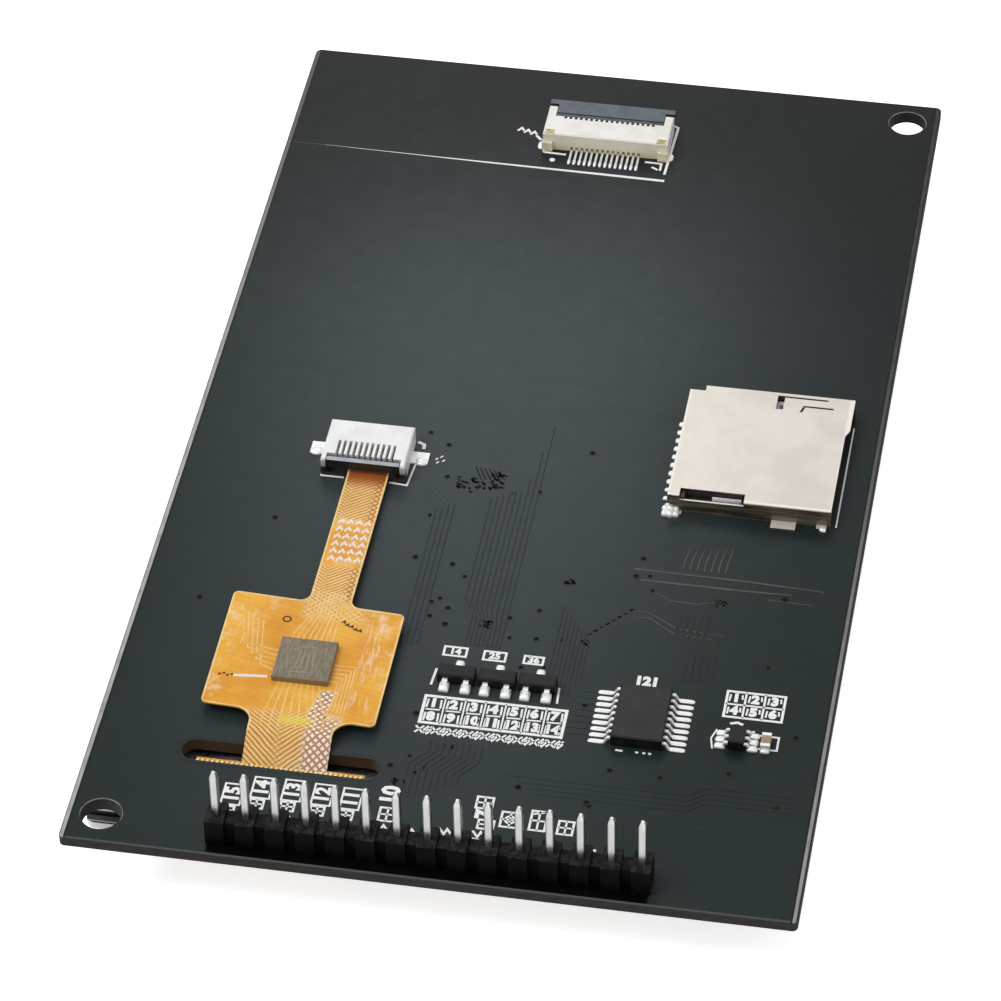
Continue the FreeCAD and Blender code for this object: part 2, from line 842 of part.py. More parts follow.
def card_channel_axis():
    """Middle of the slider's channel across the socket, where the spring and the cam wire lie."""
    return card_channel_end - card_channel_width / 2


def card_base():
    """Plastic base: floor, rear wall, rail, card bay and the slider's channel."""
    near = card_sheet + card_side_play
    far = card_width - card_sheet - card_side_play
    start = card_base_start
    end = card_depth - card_base_end
    low = card_floor_bottom
    parts = [box(start, end, near, far, low, card_floor_top)]
    parts.append(box(start, card_rear_wall, near, far, low, card_wall_top))
    parts.append(box(start, end, near, card_rail, low, card_wall_top))
    partition_back = card_bay_end + card_partition
    parts.append(box(card_partition_start, end, card_bay_end, partition_back, low, card_wall_top))
    parts.append(box(start, end, card_channel_end, far, low, card_wall_top))
    stop = slider_start + slider_length + 0.2
    parts.append(box(stop, end, card_bay_end, far, low, slider_top))
    axis = card_channel_axis()
    parts.append(rod(spring_peg_radius, (card_rear_wall - 0.1, axis, spring_height), (1, 0, 0),
                     spring_peg_length + 0.1))
    base = fused(parts)
    pivot_floor = cam_height - cam_pivot_depth - cam_leg_lift
    cuts = [rod(cam_wire_radius + 0.05, (cam_pivot, axis, pivot_floor), (0, 0, 1), 2)]
    room = card_contact_room
    notch_back = card_notch_depth - room
    cuts.append(box(card_rear_wall + 0.1, card_notch_length - 0.1, 0, notch_back, detect_step, 2))
    cuts.append(box(0, card_rear_wall + room, card_width - card_corner_notch - room, card_width, 0, 2))
    half = card_contact_width / 2 + room
    rise = card_contact_rise
    reach = contact_thickness / 2 + room
    for y in card_contact_rows():
        cuts.append(box(-1, rise + reach, y - half, y + half, -1, contact_thickness + room))
        cuts.append(box(rise - reach, rise + reach, y - half, y + half, -1, card_wall_top - card_floor_top))
    return base.cut(cuts)


def card_contact_springs():
    """Bowed contact springs along the card bay, with their tails behind the socket."""
    half = contact_thickness / 2
    rest = card_floor_top + half + 0.02
    rise = card_contact_rise
    path = [(-card_contact_tail, half, 0), (rise, half, 0.1), (rise, rest, 0.1)]
    for (along, up), bend in ((card_contact_slope, card_contact_slope_bend),
                              (card_contact_crest, card_contact_crest_bend), (card_contact_tip, 0)):
        path.append((rise + along, rest + up, bend))
    one = strip(path, contact_thickness, card_contact_width)
    return Part.makeCompound([placed(one, 0, y, 0, -90) for y in card_contact_rows()])


def card_slider():
    """Push slider: a block in the channel with an arm behind the card and a cam groove on top."""
    near = card_bay_end + card_partition + slider_side_play
    far = card_channel_end - slider_side_play
    axis = (near + far) / 2
    end = slider_start + slider_length
    body = box(slider_start, end, near, far, slider_bottom, slider_top)
    arm_end = slider_start + slider_arm_length
    arm = box(slider_start, arm_end, card_bay_end - slider_arm_overlap, near, slider_bottom, slider_top)
    peg = rod(spring_peg_radius, (slider_start - spring_peg_length, axis, spring_height), (1, 0, 0),
              spring_peg_length + 0.1)
    half = cam_groove_width / 2
    groove = box(cam_leg - half, cam_leg + slider_travel + half / 2, axis - half, axis + half,
                 cam_groove_floor, slider_top + 1)
    return fused([body, arm, peg]).cut(groove)


def card_spring():
    """Coil spring between the socket's rear wall and the slider."""
    axis = card_channel_axis()
    start = card_rear_wall + spring_wire_radius + 0.01
    length = slider_start - card_rear_wall - 2 * (spring_wire_radius + 0.01)
    helix = Part.makeHelix(length / spring_turns, length, spring_coil_radius)
    section = Part.makeCircle(spring_wire_radius, Vector(spring_coil_radius, 0, 0), Vector(0, 1, 0))
    coil = Part.Wire(helix).makePipeShell([Part.Wire(section)], True, True)
    coil.rotate(Vector(0, 0, 0), Vector(0, 1, 0), 90)
    coil.translate(Vector(start, axis, spring_height))
    return coil


def card_cam_pin():
    """Bent wire that runs in the slider's cam groove."""
    axis = card_channel_axis()
    points = [Vector(cam_leg, axis, cam_groove_floor + cam_leg_lift), Vector(cam_leg, axis, cam_height),
              Vector(cam_pivot, axis, cam_height), Vector(cam_pivot, axis, cam_height - cam_pivot_depth)]
    bend = 1.5 * cam_wire_radius
    wire = Part.Wire(path_edges(points, [0, bend, bend, 0], False))
    section = Part.makeCircle(cam_wire_radius, points[0], Vector(0, 0, 1))
    return wire.makePipeShell([Part.Wire(section)], True, False)


def card_detect_contacts():
    """Two small strips that sense a card, seen in the notch at the socket's lower left."""
    strips = []
    for left, right, front, back, height in (detect_lower, detect_upper):
        strips.append(box(left, right, front, back, detect_step, detect_step + height))
    return Part.makeCompound(strips)


def card_solder(pieces):
    """Solder at the socket's outer corner tabs, shaped round what it holds."""
    blobs = []
    for x, y, radius in card_solder_blobs:
        ball = Part.makeSphere(radius, Vector(x, y, 0))
        blobs.append(ball.common(box(x - radius, x + radius, y - radius, y + radius, 0, radius)))
    return Part.makeCompound(blobs).cut(pieces)


def card_parts():
    """All pieces of the card socket, set down on the board."""
    shell, base, contacts = card_shell(), card_base(), card_contact_springs()
    pieces = {"card_shell": shell, "card_base": base, "card_contacts": contacts,
              "card_slider": card_slider(), "card_spring": card_spring(),
              "card_cam_pin": card_cam_pin(), "card_detect_contacts": card_detect_contacts(),
              "card_solder": card_solder([shell, base, contacts])}
    return {name: card_place(shape) for name, shape in pieces.items()}


def package_body(width, length, height):
    """A moulded chip body that stands a little off the board."""
    body = sheet(width, length, package_standoff, height)
    return bevel_rim(body, package_bevel, (package_standoff + height,))


def gull_lead(body_width, span, height, width):
    """One lead that points along +Y: out of the body, down and flat on the board."""
    start = body_width / 2
    foot = lead_thickness / 2
    shoulder = package_standoff + height / 2
    knee = start + lead_shoulder
    ankle = knee + lead_slope
    path = [(start, shoulder, 0), (knee, shoulder, lead_bend), (ankle, foot, lead_bend), (span / 2, foot, 0)]
    return strip(path, lead_thickness, width)


def shifter_parts():
    """The level shifter's body and its leads."""
    x = board_right - shifter_from_right
    y = board_front + shifter_from_bottom
    body = placed(package_body(shifter_width, shifter_length, shifter_height), x, y, board_top)
    lead = gull_lead(shifter_width, shifter_span, shifter_height, lead_width)
    leads = []
    for turn in (-90, 90):
        for step in row(shifter_leads_per_side, shifter_lead_pitch):
            leads.append(placed(lead, x, y + step, board_top, turn))
    return {"level_shifter_body": body, "level_shifter_leads": Part.makeCompound(leads)}


def transistor_parts():
    """A row of small transistors, each with two leads in front and one behind."""
    y = board_front + transistor_from_bottom
    bodies = []
    leads = []
    lead = gull_lead(transistor_length, transistor_span, transistor_height, wide_lead_width)
    for step in row(transistor_count, transistor_pitch):
        x = transistor_from_middle + step
        body = package_body(transistor_width, transistor_length, transistor_height)
        bodies.append(placed(body, x, y, board_top))
        for side in row(2, transistor_lead_spacing):
            leads.append(placed(lead, x + side, y, board_top, 180))
        leads.append(placed(lead, x, y, board_top))
    return {"transistor_bodies": Part.makeCompound(bodies), "transistor_leads": Part.makeCompound(leads)}


def regulator_parts():
    """The voltage regulator with leads left and right, and the capacitor beside it."""
    x = board_right - regulator_from_right
    y = board_front + regulator_from_bottom
    body = package_body(regulator_width, regulator_length, regulator_height)
    lead = gull_lead(regulator_width, regulator_span, regulator_height, lead_width)
    leads = []
    for turn in (-90, 90):
        for step in row(3, regulator_lead_pitch):
            leads.append(placed(lead, x, y + step, board_top, turn))
    return {"regulator_body": placed(body, x, y, board_top), "regulator_leads": Part.makeCompound(leads)}


def capacitor_parts():
    """A chip capacitor beside the regulator, with a metal band at each end."""
    x = board_right - regulator_from_right + capacitor_from_regulator
    y = board_front + regulator_from_bottom
    half = capacitor_length / 2
    side = capacitor_width / 2
    core = box(-side, side, -half + capacitor_band, half - capacitor_band, 0, capacitor_height)
    bands = [box(-side, side, half - capacitor_band, half, 0, capacitor_height),
             box(-side, side, -half, -half + capacitor_band, 0, capacitor_height)]
    return {"capacitor_body": placed(core, x, y, board_top),
            "capacitor_ends": placed(Part.makeCompound(bands), x, y, board_top)}


def display_parts():
    """The touch panel, the display and its backlight, from the cover glass up."""
    diffuser, lower_prism, upper_prism = backlight_films()
    return {
        "cover_glass": cover_glass(),
        "optical_adhesive": touch_layer(cover_thickness, adhesive_thickness),
        "touch_sensor_glass": touch_layer(sensor_bottom, sensor_thickness),
        "gasket_tape": gasket_tape(),
        "front_polarizer": front_polarizer(),
        "color_filter_glass": color_filter_glass(),
        "array_glass": array_glass(),
        "driver_chip": driver_chip(),
        "rear_polarizer": rear_polarizer(),
        "upper_prism_film": upper_prism,
        "lower_prism_film": lower_prism,
        "diffuser_film": diffuser,
        "light_guide": backlight_sheet(guide_bottom, light_guide_thickness),
        "reflector_film": backlight_sheet(guide_top, reflector_thickness),
        "backlight_leds": backlight_leds(),
        "led_strip": led_strip(),
        "backlight_frame": backlight_frame(),
        "rear_shield": rear_shield(),
        "display_flex": display_flex(),
        "mounting_tape": mounting_tape(),
    }


def build():
    """Every piece of the module by name."""
    nodes = display_parts()
    nodes["circuit_board"] = circuit_board()
    nodes["touch_flex"] = touch_flex()
    nodes["touch_chip"] = touch_chip()
    nodes["header_block"] = header_block()
    nodes["header_pins"] = header_pins()
    nodes["header_solder"] = header_solder()
    connectors = {"touch_connector": (touch_connector, touch_connector_x, touch_connector_y, 180),
                  "spare_connector": (spare_connector, spare_connector_offset, spare_connector_y, 0)}
    for prefix, values in connectors.items():
        nodes.update(connector_parts(prefix, *values))
    nodes.update(card_parts())
    nodes.update(shifter_parts())
    nodes.update(transistor_parts())
    nodes.update(regulator_parts())
    nodes.update(capacitor_parts())
    return nodes


def main():
    os.makedirs("parts", exist_ok=True)
    for name, shape in build().items():
        shape.exportStep("parts/" + name + ".step")


main()
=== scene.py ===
import math
import random

import bpy
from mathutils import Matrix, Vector
from mathutils.bvhtree import BVHTree


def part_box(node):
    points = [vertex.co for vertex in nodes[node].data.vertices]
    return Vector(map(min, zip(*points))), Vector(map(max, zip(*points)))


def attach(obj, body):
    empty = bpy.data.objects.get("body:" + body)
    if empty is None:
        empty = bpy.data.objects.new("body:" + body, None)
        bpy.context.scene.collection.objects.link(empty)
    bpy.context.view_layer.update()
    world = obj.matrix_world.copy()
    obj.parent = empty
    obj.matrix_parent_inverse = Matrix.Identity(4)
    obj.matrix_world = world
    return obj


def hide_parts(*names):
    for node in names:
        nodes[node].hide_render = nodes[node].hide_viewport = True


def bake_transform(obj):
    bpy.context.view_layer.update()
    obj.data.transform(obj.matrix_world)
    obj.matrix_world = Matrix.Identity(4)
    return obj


# A small display module with its component side up, on a pale floor in plain studio light.
# Pieces are written in millimetres and scaled to metres when their mesh is made.

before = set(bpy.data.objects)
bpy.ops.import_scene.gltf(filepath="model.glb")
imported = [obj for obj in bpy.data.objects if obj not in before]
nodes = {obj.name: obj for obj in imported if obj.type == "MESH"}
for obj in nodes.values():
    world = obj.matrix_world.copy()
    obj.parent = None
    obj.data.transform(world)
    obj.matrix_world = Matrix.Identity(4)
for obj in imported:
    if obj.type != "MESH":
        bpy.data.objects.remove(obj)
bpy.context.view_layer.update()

MM = 0.001
random.seed(7)

# Camera
camera_place = (0.058879, -0.326723, 0.304384)
camera_turn_deg = (47.358, 0.9033, 9.9232)
camera_lens = 178.82
camera_sensor = 36.0

# Light
floor_glow = 0.72
floor_tone = 0.8
world_level = 0.62
world_gloss = 0.85

# Heights in millimetres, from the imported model
board_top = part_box("circuit_board")[1].z / MM
spare_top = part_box("spare_connector_housing")[1].z / MM
print_low = board_top - 0.01
print_high = board_top + 0.035
copper_rise = 0.02
copper_high = board_top + copper_rise

# Places of parts on the board in millimetres
touch_x, spare_x = -14.3, -0.2
chip_x, chip_y = -14.4, -31.9
shifter_x, shifter_y, shifter_pitch = 14.87, -33.27, 0.73
transistor_x, transistor_pitch = 2.05, 3.5
regulator_x, regulator_y, regulator_pitch = 23.17, -34.42, 0.75
capacitor_x = 25.62
screw_x, screw_y = 27.87, 51.02
card_tail_x, card_tail_y, card_tail_pitch = 12.85, -5.5, 1.1
pin_pitch = 2.54
flex_pitch = 0.5

# Sizes of the finishes in millimetres
# Painted shadow of the header on the board in front of it
header_painted_shadow = (-18.45, 18.45, -54.1, -51.0)
slot_walls = (-23.2, -5.6, -43.9, -40.9)
# Painted light and shade on the glass edges at the corner seen through the screw hole
painted_light_corner = (-31.0, -24.8, -48.0, -45.0)
rim_groove_at, rim_band_at, rim_line_at = 30.22, 30.4, 30.68

mask_level = 0.17
glass_ior = 1.5
stripe_share = 0.35


def grey(tone):
    return (tone, tone, tone)


def add_node(tree, kind, inputs=None, **settings):
    """A shader node; each input takes a number, a list, a colour as a tuple or another node's output."""
    node = tree.nodes.new("ShaderNode" + kind)
    for name, value in settings.items():
        setattr(node, name, value)
    for key, item in (inputs or {}).items():
        if isinstance(item, bpy.types.NodeSocket):
            tree.links.new(item, node.inputs[key])
        else:
            node.inputs[key].default_value = (*item, 1.0) if isinstance(item, tuple) else item
    return node


class Shade:
    """A material and its node tree, built one call at a time."""

    def __init__(self, name, color=(0.5, 0.5, 0.5), roughness=0.5, metallic=0.0, level=0.5, coat=0.0,
                 coat_roughness=0.1):
        self.material = bpy.data.materials.new(name)
        self.material.use_nodes = True
        self.tree = self.material.node_tree
        self.surface = self.tree.nodes["Principled BSDF"]
        for socket, value in (("Base Color", (*color, 1.0)), ("Roughness", roughness), ("Metallic", metallic),
                              ("Specular IOR Level", level), ("Coat Weight", coat),
                              ("Coat Roughness", coat_roughness), ("IOR", glass_ior)):
            self.surface.inputs[socket].default_value = value
        self.place = self.node("TexCoord", "Object")
        self.normal = self.node("TexCoord", "Normal")

    def node(self, kind, output, inputs=None, **settings):
        """One output of a new node."""
        return add_node(self.tree, kind, inputs, **settings).outputs[output]

    def drive(self, socket, output):
        self.tree.links.new(output, self.surface.inputs[socket])

    def paint(self, color):
        self.drive("Base Color", color)

    def stretched(self, stretch):
        """Object coordinates in millimetres, stretched along the axes."""
        return self.node("Mapping", "Vector", {"Scale": [s / MM for s in stretch], "Vector": self.place})

    def axes(self):
        """Object coordinates in millimetres as three numbers."""
        return add_node(self.tree, "SeparateXYZ", {"Vector": self.stretched((1, 1, 1))}).outputs[:]

    def facing(self, axis=2):
        """How far the surface faces along one of the object's axes, from -1 to 1."""
        return self.node("SeparateXYZ", axis, {"Vector": self.normal})

    def noise(self, scale, detail=4.0, rough=0.6, stretch=(1, 1, 1)):
        """Noise with this many waves a millimetre."""
        inputs = {"Scale": scale, "Detail": detail, "Roughness": rough, "Vector": self.stretched(stretch)}
        return self.node("TexNoise", "Fac", inputs)

    def value(self, operation, first, second=0.0):
        return self.node("Math", 0, {0: first, 1: second}, operation=operation)

    def chain(self, operation, items):
        result = items[0]
        for item in items[1:]:
            result = self.value(operation, result, item)
        return result

    def times(self, *items):
        return self.chain("MULTIPLY", items)

    def plus(self, *items):
        return self.chain("ADD", items)

    def most(self, *items):
        return self.chain("MAXIMUM", items)

    def rest(self, item):
        """What is left of 1."""
        return self.value("SUBTRACT", 1.0, item)

    def steps(self, source, low, high, out_low=0.0, out_high=1.0):
        """A smooth step of source between low and high."""
        inputs = {"Value": source, "From Min": low, "From Max": high, "To Min": out_low, "To Max": out_high}
        return self.node("MapRange", "Result", inputs, interpolation_type="SMOOTHSTEP")

    def mix(self, factor, first, second):
        """Colour between two colours."""
        return self.node("Mix", "Result", {"Factor": factor, "A": first, "B": second}, data_type="RGBA")

    def patches(self, scale, detail=4.0, rough=0.6, stretch=(1, 1, 1), low=0.35, high=0.65, **out):
        """Noise drawn apart into soft patches."""
        return self.steps(self.noise(scale, detail, rough, stretch), low, high, **out)

    def two_tone(self, first, second, *noise, **more):
        """Colour that drifts between two tones in patches."""
        return self.mix(self.patches(*noise, **more), first, second)

    def lid(self, top, side, low=0.5, high=0.95):
        """Base colour with one tone on faces that look up and another on the rest."""
        self.paint(self.mix(self.steps(self.facing(), low, high), side, top))

    def inside(self, x0, x1, y0, y1, soft=0.2):
        """1 inside a plan rectangle, 0 outside, with soft sides."""
        x, y = self.axes()[:2]
        return self.times(self.steps(x, x0 - soft, x0 + soft), self.steps(x, x1 + soft, x1 - soft),
                          self.steps(y, y0 - soft, y0 + soft), self.steps(y, y1 + soft, y1 - soft))

    def stripes(self, along_x, along_y, pitch, sharp=0.3, wobble=0.0):
        """Lines in plan, this far apart, across the given direction, shifted here and there by the wobble."""
        x, y = self.axes()[:2]
        length = math.hypot(along_x, along_y)
        across = self.plus(self.times(x, along_x / length), self.times(y, along_y / length))
        if wobble:
            shift = self.value("SUBTRACT", self.noise(0.8, 2.0, 0.5), 0.5)
            across = self.plus(across, self.times(shift, 2 * wobble))
        wave = self.value("SINE", self.times(across, 2 * math.pi / pitch))
        return self.steps(wave, stripe_share - sharp, stripe_share + sharp)

    def bump(self, height, strength, depth):
        """Bump in the surface; depth in millimetres. Several are stacked."""
        inputs = {"Strength": strength, "Distance": depth * MM, "Height": height}
        below = self.surface.inputs["Normal"].links
        if below:
            inputs["Normal"] = below[0].from_socket
        self.drive("Normal", self.node("Bump", "Normal", inputs))

    def grain(self, scale, strength, depth, detail=3.0, rough=0.6, stretch=(1, 1, 1)):
        """Fine bump from noise."""
        self.bump(self.noise(scale, detail, rough, stretch), strength, depth)

    def vary(self, color, other, scale, detail=3.0, stretch=(1, 1, 1)):
        """Base colour that drifts between two tones."""
        self.paint(self.two_tone(color, other, scale, detail, 0.55, stretch))

    def roughen(self, low, high, scale, stretch=(1, 1, 1)):
        """Roughness that drifts between two values."""
        self.drive("Roughness", self.steps(self.noise(scale, stretch=stretch), 0.3, 0.7, low, high))


def edge_highlight_bands(s, x, y, face):
    """Painted highlight bands along the board's long edges, between dark lines, brighter at the front and
    left, in patches.
    """
    from_middle = s.value("ABSOLUTE", x)
    on_right = s.steps(x, -1.0, 1.0)
    left_tone = s.mix(s.steps(y, -10.0, 54.0), (0.42, 0.42, 0.415), grey(0.1))
    right_tone = s.mix(s.steps(y, -52.0, 26.0), (0.3, 0.3, 0.295), (0.034, 0.036, 0.038))
    highlight_breaks = s.patches(1.6, stretch=(1.5, 0.3, 1.0), low=0.42, high=0.68, out_high=0.4)
    tone = s.mix(highlight_breaks, s.mix(on_right, left_tone, right_tone), grey(0.1))
    band = s.steps(from_middle, rim_band_at, rim_band_at + 0.06)
    groove = s.times(s.steps(from_middle, rim_groove_at, rim_groove_at + 0.08),
                     s.steps(from_middle, rim_band_at, rim_band_at + 0.04, 0.85, 0.0))
    line = s.steps(from_middle, rim_line_at, rim_line_at + 0.07)
    line = s.times(line, s.plus(s.times(on_right, 0.5), 0.45))
    face = s.mix(groove, s.mix(band, face, tone), grey(0.003))
    return s.mix(line, face, grey(0.006))


def solder_mask():
    """Black mask with a painted sheen, a painted shadow by the header and painted edge highlights; laminate
    at the cuts.
    """
    s = Shade("solder_mask", level=mask_level)
    x, y = s.axes()[:2]
    cloud = s.patches(0.045, 3.0, 0.5, high=0.7)
    neutral = s.mix(cloud, (0.004, 0.0052, 0.0058), (0.007, 0.0086, 0.0092))
    greenish = s.mix(cloud, (0.0034, 0.0082, 0.0086), (0.0066, 0.0125, 0.0128))
    dark = s.mix(s.steps(y, 8.0, 44.0), greenish, neutral)
    # Painted sheen: a broad soft highlight, strongest left of the middle, fading to the sides and back.
    across = s.steps(s.value("ABSOLUTE", s.plus(x, 5.0)), 4.0, 34.0, 1.0, 0.1)
    back = s.steps(y, 12.0, 50.0, 1.0, 0.08)
    front = s.steps(y, -62.0, 14.0, 0.42, 1.0)
    painted_sheen = s.most(s.times(across, back, front), s.steps(y, -22.0, -46.0, 0.0, 0.19))
    face = s.mix(painted_sheen, dark, (0.044, 0.057, 0.059))
    # Painted shadow: the mask in front of the header is painted near black.
    face = s.mix(s.inside(*header_painted_shadow, 0.15), face, (0.0006, 0.0007, 0.0007))
    tilt = s.value("ABSOLUTE", s.facing())
    # Painted highlight on the bevels along the board's top edges.
    bevel_highlight = s.times(s.steps(tilt, 0.55, 0.65), s.steps(tilt, 0.9, 0.8))
    face = s.mix(bevel_highlight, face, (0.075, 0.08, 0.08))
    grain = s.noise(2.2)
    face = s.mix(s.steps(grain, 0.66, 0.76, 0.0, 0.4), face, (0.05, 0.055, 0.055))
    # Painted highlight bands along the long edges.
    face = edge_highlight_bands(s, x, y, face)
    laminate = s.two_tone(grey(0.02), (0.044, 0.043, 0.041), 1.1, 4.0, 0.7, (0.6, 0.6, 9.0), 0.3, 0.7)
    laminate = s.mix(s.inside(*slot_walls), laminate, (0.075, 0.04, 0.016))
    side = s.steps(tilt, 0.6, 0.35)
    s.paint(s.mix(side, face, laminate))
    rough = s.steps(s.noise(0.5), 0.3, 0.7, 0.3, 0.38)
    s.drive("Roughness", s.plus(rough, s.times(side, 0.25)))
    s.bump(grain, 0.16, 0.05)
    s.grain(0.35, 0.12, 0.35, 2.0, 0.4)
    return s.material


def plain_finish(name, color, other, roughness, scale=1.0, bump=0.1, depth=0.03, grain=6.0, **rest):
    """A finish that drifts between two tones, with a fine grain."""
    s = Shade(name, color=color, roughness=roughness, **rest)
    s.vary(color, other, scale)
    s.roughen(max(0.03, roughness - 0.06), roughness + 0.08, scale * 2.5)
    s.grain(grain, bump, depth)
    return s.material


def brushed_metal(name, color, other, roughness, stretch, bump=0.12, grain=3.0):
    """Metal with fine drawn lines along one axis."""
    s = Shade(name, color=color, metallic=1.0, roughness=roughness)
    s.vary(color, other, 0.8, 4.0, stretch)
    s.roughen(roughness * 0.75, roughness * 1.35, grain, stretch)
    s.grain(grain, bump, 0.02, stretch=stretch)
    return s.material


def card_steel():
    """Warm satin plated sheet, a little mottled, with painted highlights on its folds and left, painted shade
    on its sides.
    """
    s = Shade("card_steel", metallic=0.45)
    x, y, z = s.axes()
    low, high = (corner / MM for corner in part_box("card_shell"))
    top = s.two_tone((0.68, 0.625, 0.565), (0.75, 0.705, 0.645), 0.22)
    # Painted sheen: the top is paler towards the left.
    top = s.mix(s.steps(x, 22.0, 13.5, 0.0, 0.55), top, (0.8, 0.755, 0.665))
    # Painted highlight along the folds at the top.
    fold = s.most(s.steps(y, low.y + 1.35, low.y + 1.15), s.steps(y, high.y - 1.15, high.y - 0.95),
                  s.steps(x, high.x - 0.55, high.x - 0.3), s.steps(x, low.x + 0.3, low.x + 0.1))
    top = s.mix(s.times(fold, s.steps(z, high.z - 0.5, high.z - 0.1)), top, (0.86, 0.82, 0.74))
    # Painted shade: the sides are painted dark brown.
    shade = s.two_tone((0.035, 0.026, 0.017), (0.2, 0.165, 0.12), 0.8, stretch=(0.3, 1.0, 4.0))
    side = s.steps(s.value("ABSOLUTE", s.facing()), 0.75, 0.25)
    s.paint(s.mix(side, top, shade))
    s.roughen(0.36, 0.5, 1.2)
    s.grain(9.0, 0.05, 0.02)
    s.grain(0.3, 0.1, 0.12, 2.0, 0.4)
    return s.material


def flex_film():
    """Amber film over copper: cloudy tone, hatched ground on neck and tail, pale print shadows."""
    s = Shade("flex_film", roughness=0.34, coat=0.22, coat_roughness=0.2, level=0.3)
    x, y = s.axes()[:2]
    tone = s.two_tone((0.7, 0.285, 0.005), (0.86, 0.44, 0.038), 0.16)
    pale = s.patches(0.5, rough=0.7, low=0.5, high=0.68)
    outer = s.rest(s.inside(-20.0, -9.4, -38.6, -26.2, 1.6))
    tone = s.mix(s.times(pale, outer, 0.62), tone, (0.88, 0.64, 0.37))
    trace = s.stripes(0.25, 1.0, 0.62, 0.5)
    tone = s.mix(s.times(trace, 0.12), tone, (0.5, 0.2, 0.02))
    neck = s.inside(-18.2, -10.2, -43.2, -37.9, 0.6)
    print_gap = s.inside(-15.6, -12.2, -19.5, -13.2)
    tail = s.times(s.inside(-16.6, -11.6, -24.4, -7.0, 0.7), s.rest(print_gap))
    slope = s.plus(x, s.times(y, -0.22))
    mesh_strip = s.times(s.steps(slope, -4.9, -4.5), s.steps(slope, -3.1, -3.5),
                         s.inside(-14.6, -10.6, -39.0, -34.9, 0.3))
    slanted = s.times(s.stripes(0.75, 1.0, 0.33, 0.45, 0.1), s.steps(x, -14.0, -15.6))
    crossing = s.times(s.stripes(-0.75, 1.0, 0.33, 0.45, 0.1), s.steps(x, -15.8, -14.4))
    crossed = s.most(s.stripes(0.9, 1.0, 0.45, 0.4, 0.1), s.stripes(-0.9, 1.0, 0.45, 0.4, 0.1))
    latticed = s.most(s.steps(x, -13.2, -12.4), mesh_strip)
    lines = s.plus(s.times(s.most(slanted, crossing), s.rest(latticed)), s.times(crossed, latticed))
    hatched = s.most(neck, tail, mesh_strip)
    lines = s.times(lines, hatched)
    tone = s.mix(s.times(hatched, 0.6), tone, (0.95, 0.64, 0.24))
    white = s.most(s.times(neck, s.steps(x, -13.4, -12.2)), mesh_strip)
    tone = s.mix(s.times(white, 0.75), tone, (0.97, 0.9, 0.82))
    tone = s.mix(s.times(lines, 0.85), tone, (0.32, 0.1, 0.008))
    streaks = s.patches(1.6, stretch=(2.2, 0.25, 1.0), low=0.52, high=0.64)
    rims = s.most(s.inside(-21.6, -19.6, -32.0, -25.6, 0.5), s.inside(-9.9, -8.0, -36.5, -25.0, 0.5))
    tone = s.mix(s.times(streaks, rims, 0.55), tone, (0.92, 0.74, 0.55))
    tone = s.mix(s.times(crossed, s.inside(-15.9, -10.4, -26.4, -23.8, 0.6), 0.5), tone, (0.86, 0.72, 0.34))
    tone = s.mix(s.times(s.inside(-15.3, -12.5, -39.15, -38.2, 0.3), 0.75), tone, (0.74, 0.62, 0.05))
    tone = s.mix(s.times(s.inside(-15.8, -10.4, -26.6, -23.0, 0.9), pale, 0.7), tone, (0.72, 0.58, 0.16))
    s.paint(s.mix(s.steps(y, -9.4, -7.2, 0.0, 0.85), tone, (0.3, 0.035, 0.004)))
    s.roughen(0.26, 0.44, 0.9)
    s.bump(s.plus(lines, s.times(trace, 0.4)), 0.35, 0.02)
    s.grain(0.3, 0.3, 0.15, rough=0.5)
    return s.material


def latch_plastic(name, top, top_other, side):
    """Moulded lever with painted light: its flat top painted paler as if lit, its sides painted black as
    shade.
    """
    s = Shade(name, roughness=0.38)
    face = s.two_tone(top, top_other, 0.9, low=0.3, high=0.7)
    # Painted light and shade: paler top, black sides.
    s.lid(face, side, 0.6, 0.9)
    s.roughen(0.32, 0.46, 3.0)
    s.grain(5.0, 0.12, 0.02)
    return s.material


def package_plastic(name, color, other):
    """Black moulding compound: dull top, sides painted darker as shade, fine grit."""
    s = Shade(name, level=0.3)
    top = s.two_tone(color, other, 0.8, low=0.3, high=0.7)
    # Painted shade: the sides are painted near black.
    s.lid(top, grey(0.003))
    s.roughen(0.46, 0.6, 4.0)
    s.grain(14.0, 0.3, 0.015, 4.0, 0.7)
    return s.material


def connector_moulding(name, color, other, front_top, front_low, height, sill=None):
    """Pale plastic with painted shade on its front, darker from the top edge down; sill sets a low lip
    painted as shadow.
    """
    s = Shade(name)
    y, z = s.axes()[1:]
    body = s.two_tone(color, other, 0.6, 3.0, 0.55)
    # Painted shade on the front faces, darkest by the board.
    front = s.mix(s.steps(z, board_top + 0.2, board_top + height), front_low, front_top)
    finish = s.mix(s.steps(s.facing(1), -0.5, -0.8), body, front)
    # Painted shadow on the low front lip below the latch.
    if sill:
        lip = s.times(s.steps(z, board_top + 1.1, board_top + 0.9), s.steps(y, sill + 0.2, sill))
        finish = s.mix(lip, finish, front_low)
    s.paint(finish)
    s.roughen(0.36, 0.5, 1.5)
    s.grain(5.0, 0.15, 0.03)
    return s.material


def header_plastic():
    """Black moulding with mottled grey-brown tops and sides painted near black as shade."""
    s = Shade("header_moulding", level=0.08)
    mottled = s.patches(1.6, 5.0, 0.7, low=0.42, high=0.68)
    top = s.mix(mottled, (0.0075, 0.0064, 0.006), (0.037, 0.033, 0.031))
    side = s.mix(mottled, grey(0.001), (0.0036, 0.0032, 0.003))
    # Painted shade: the sides are near black.
    s.lid(top, side)
    s.roughen(0.42, 0.6, 1.8)
    s.bump(mottled, 0.3, 0.04)
    return s.material


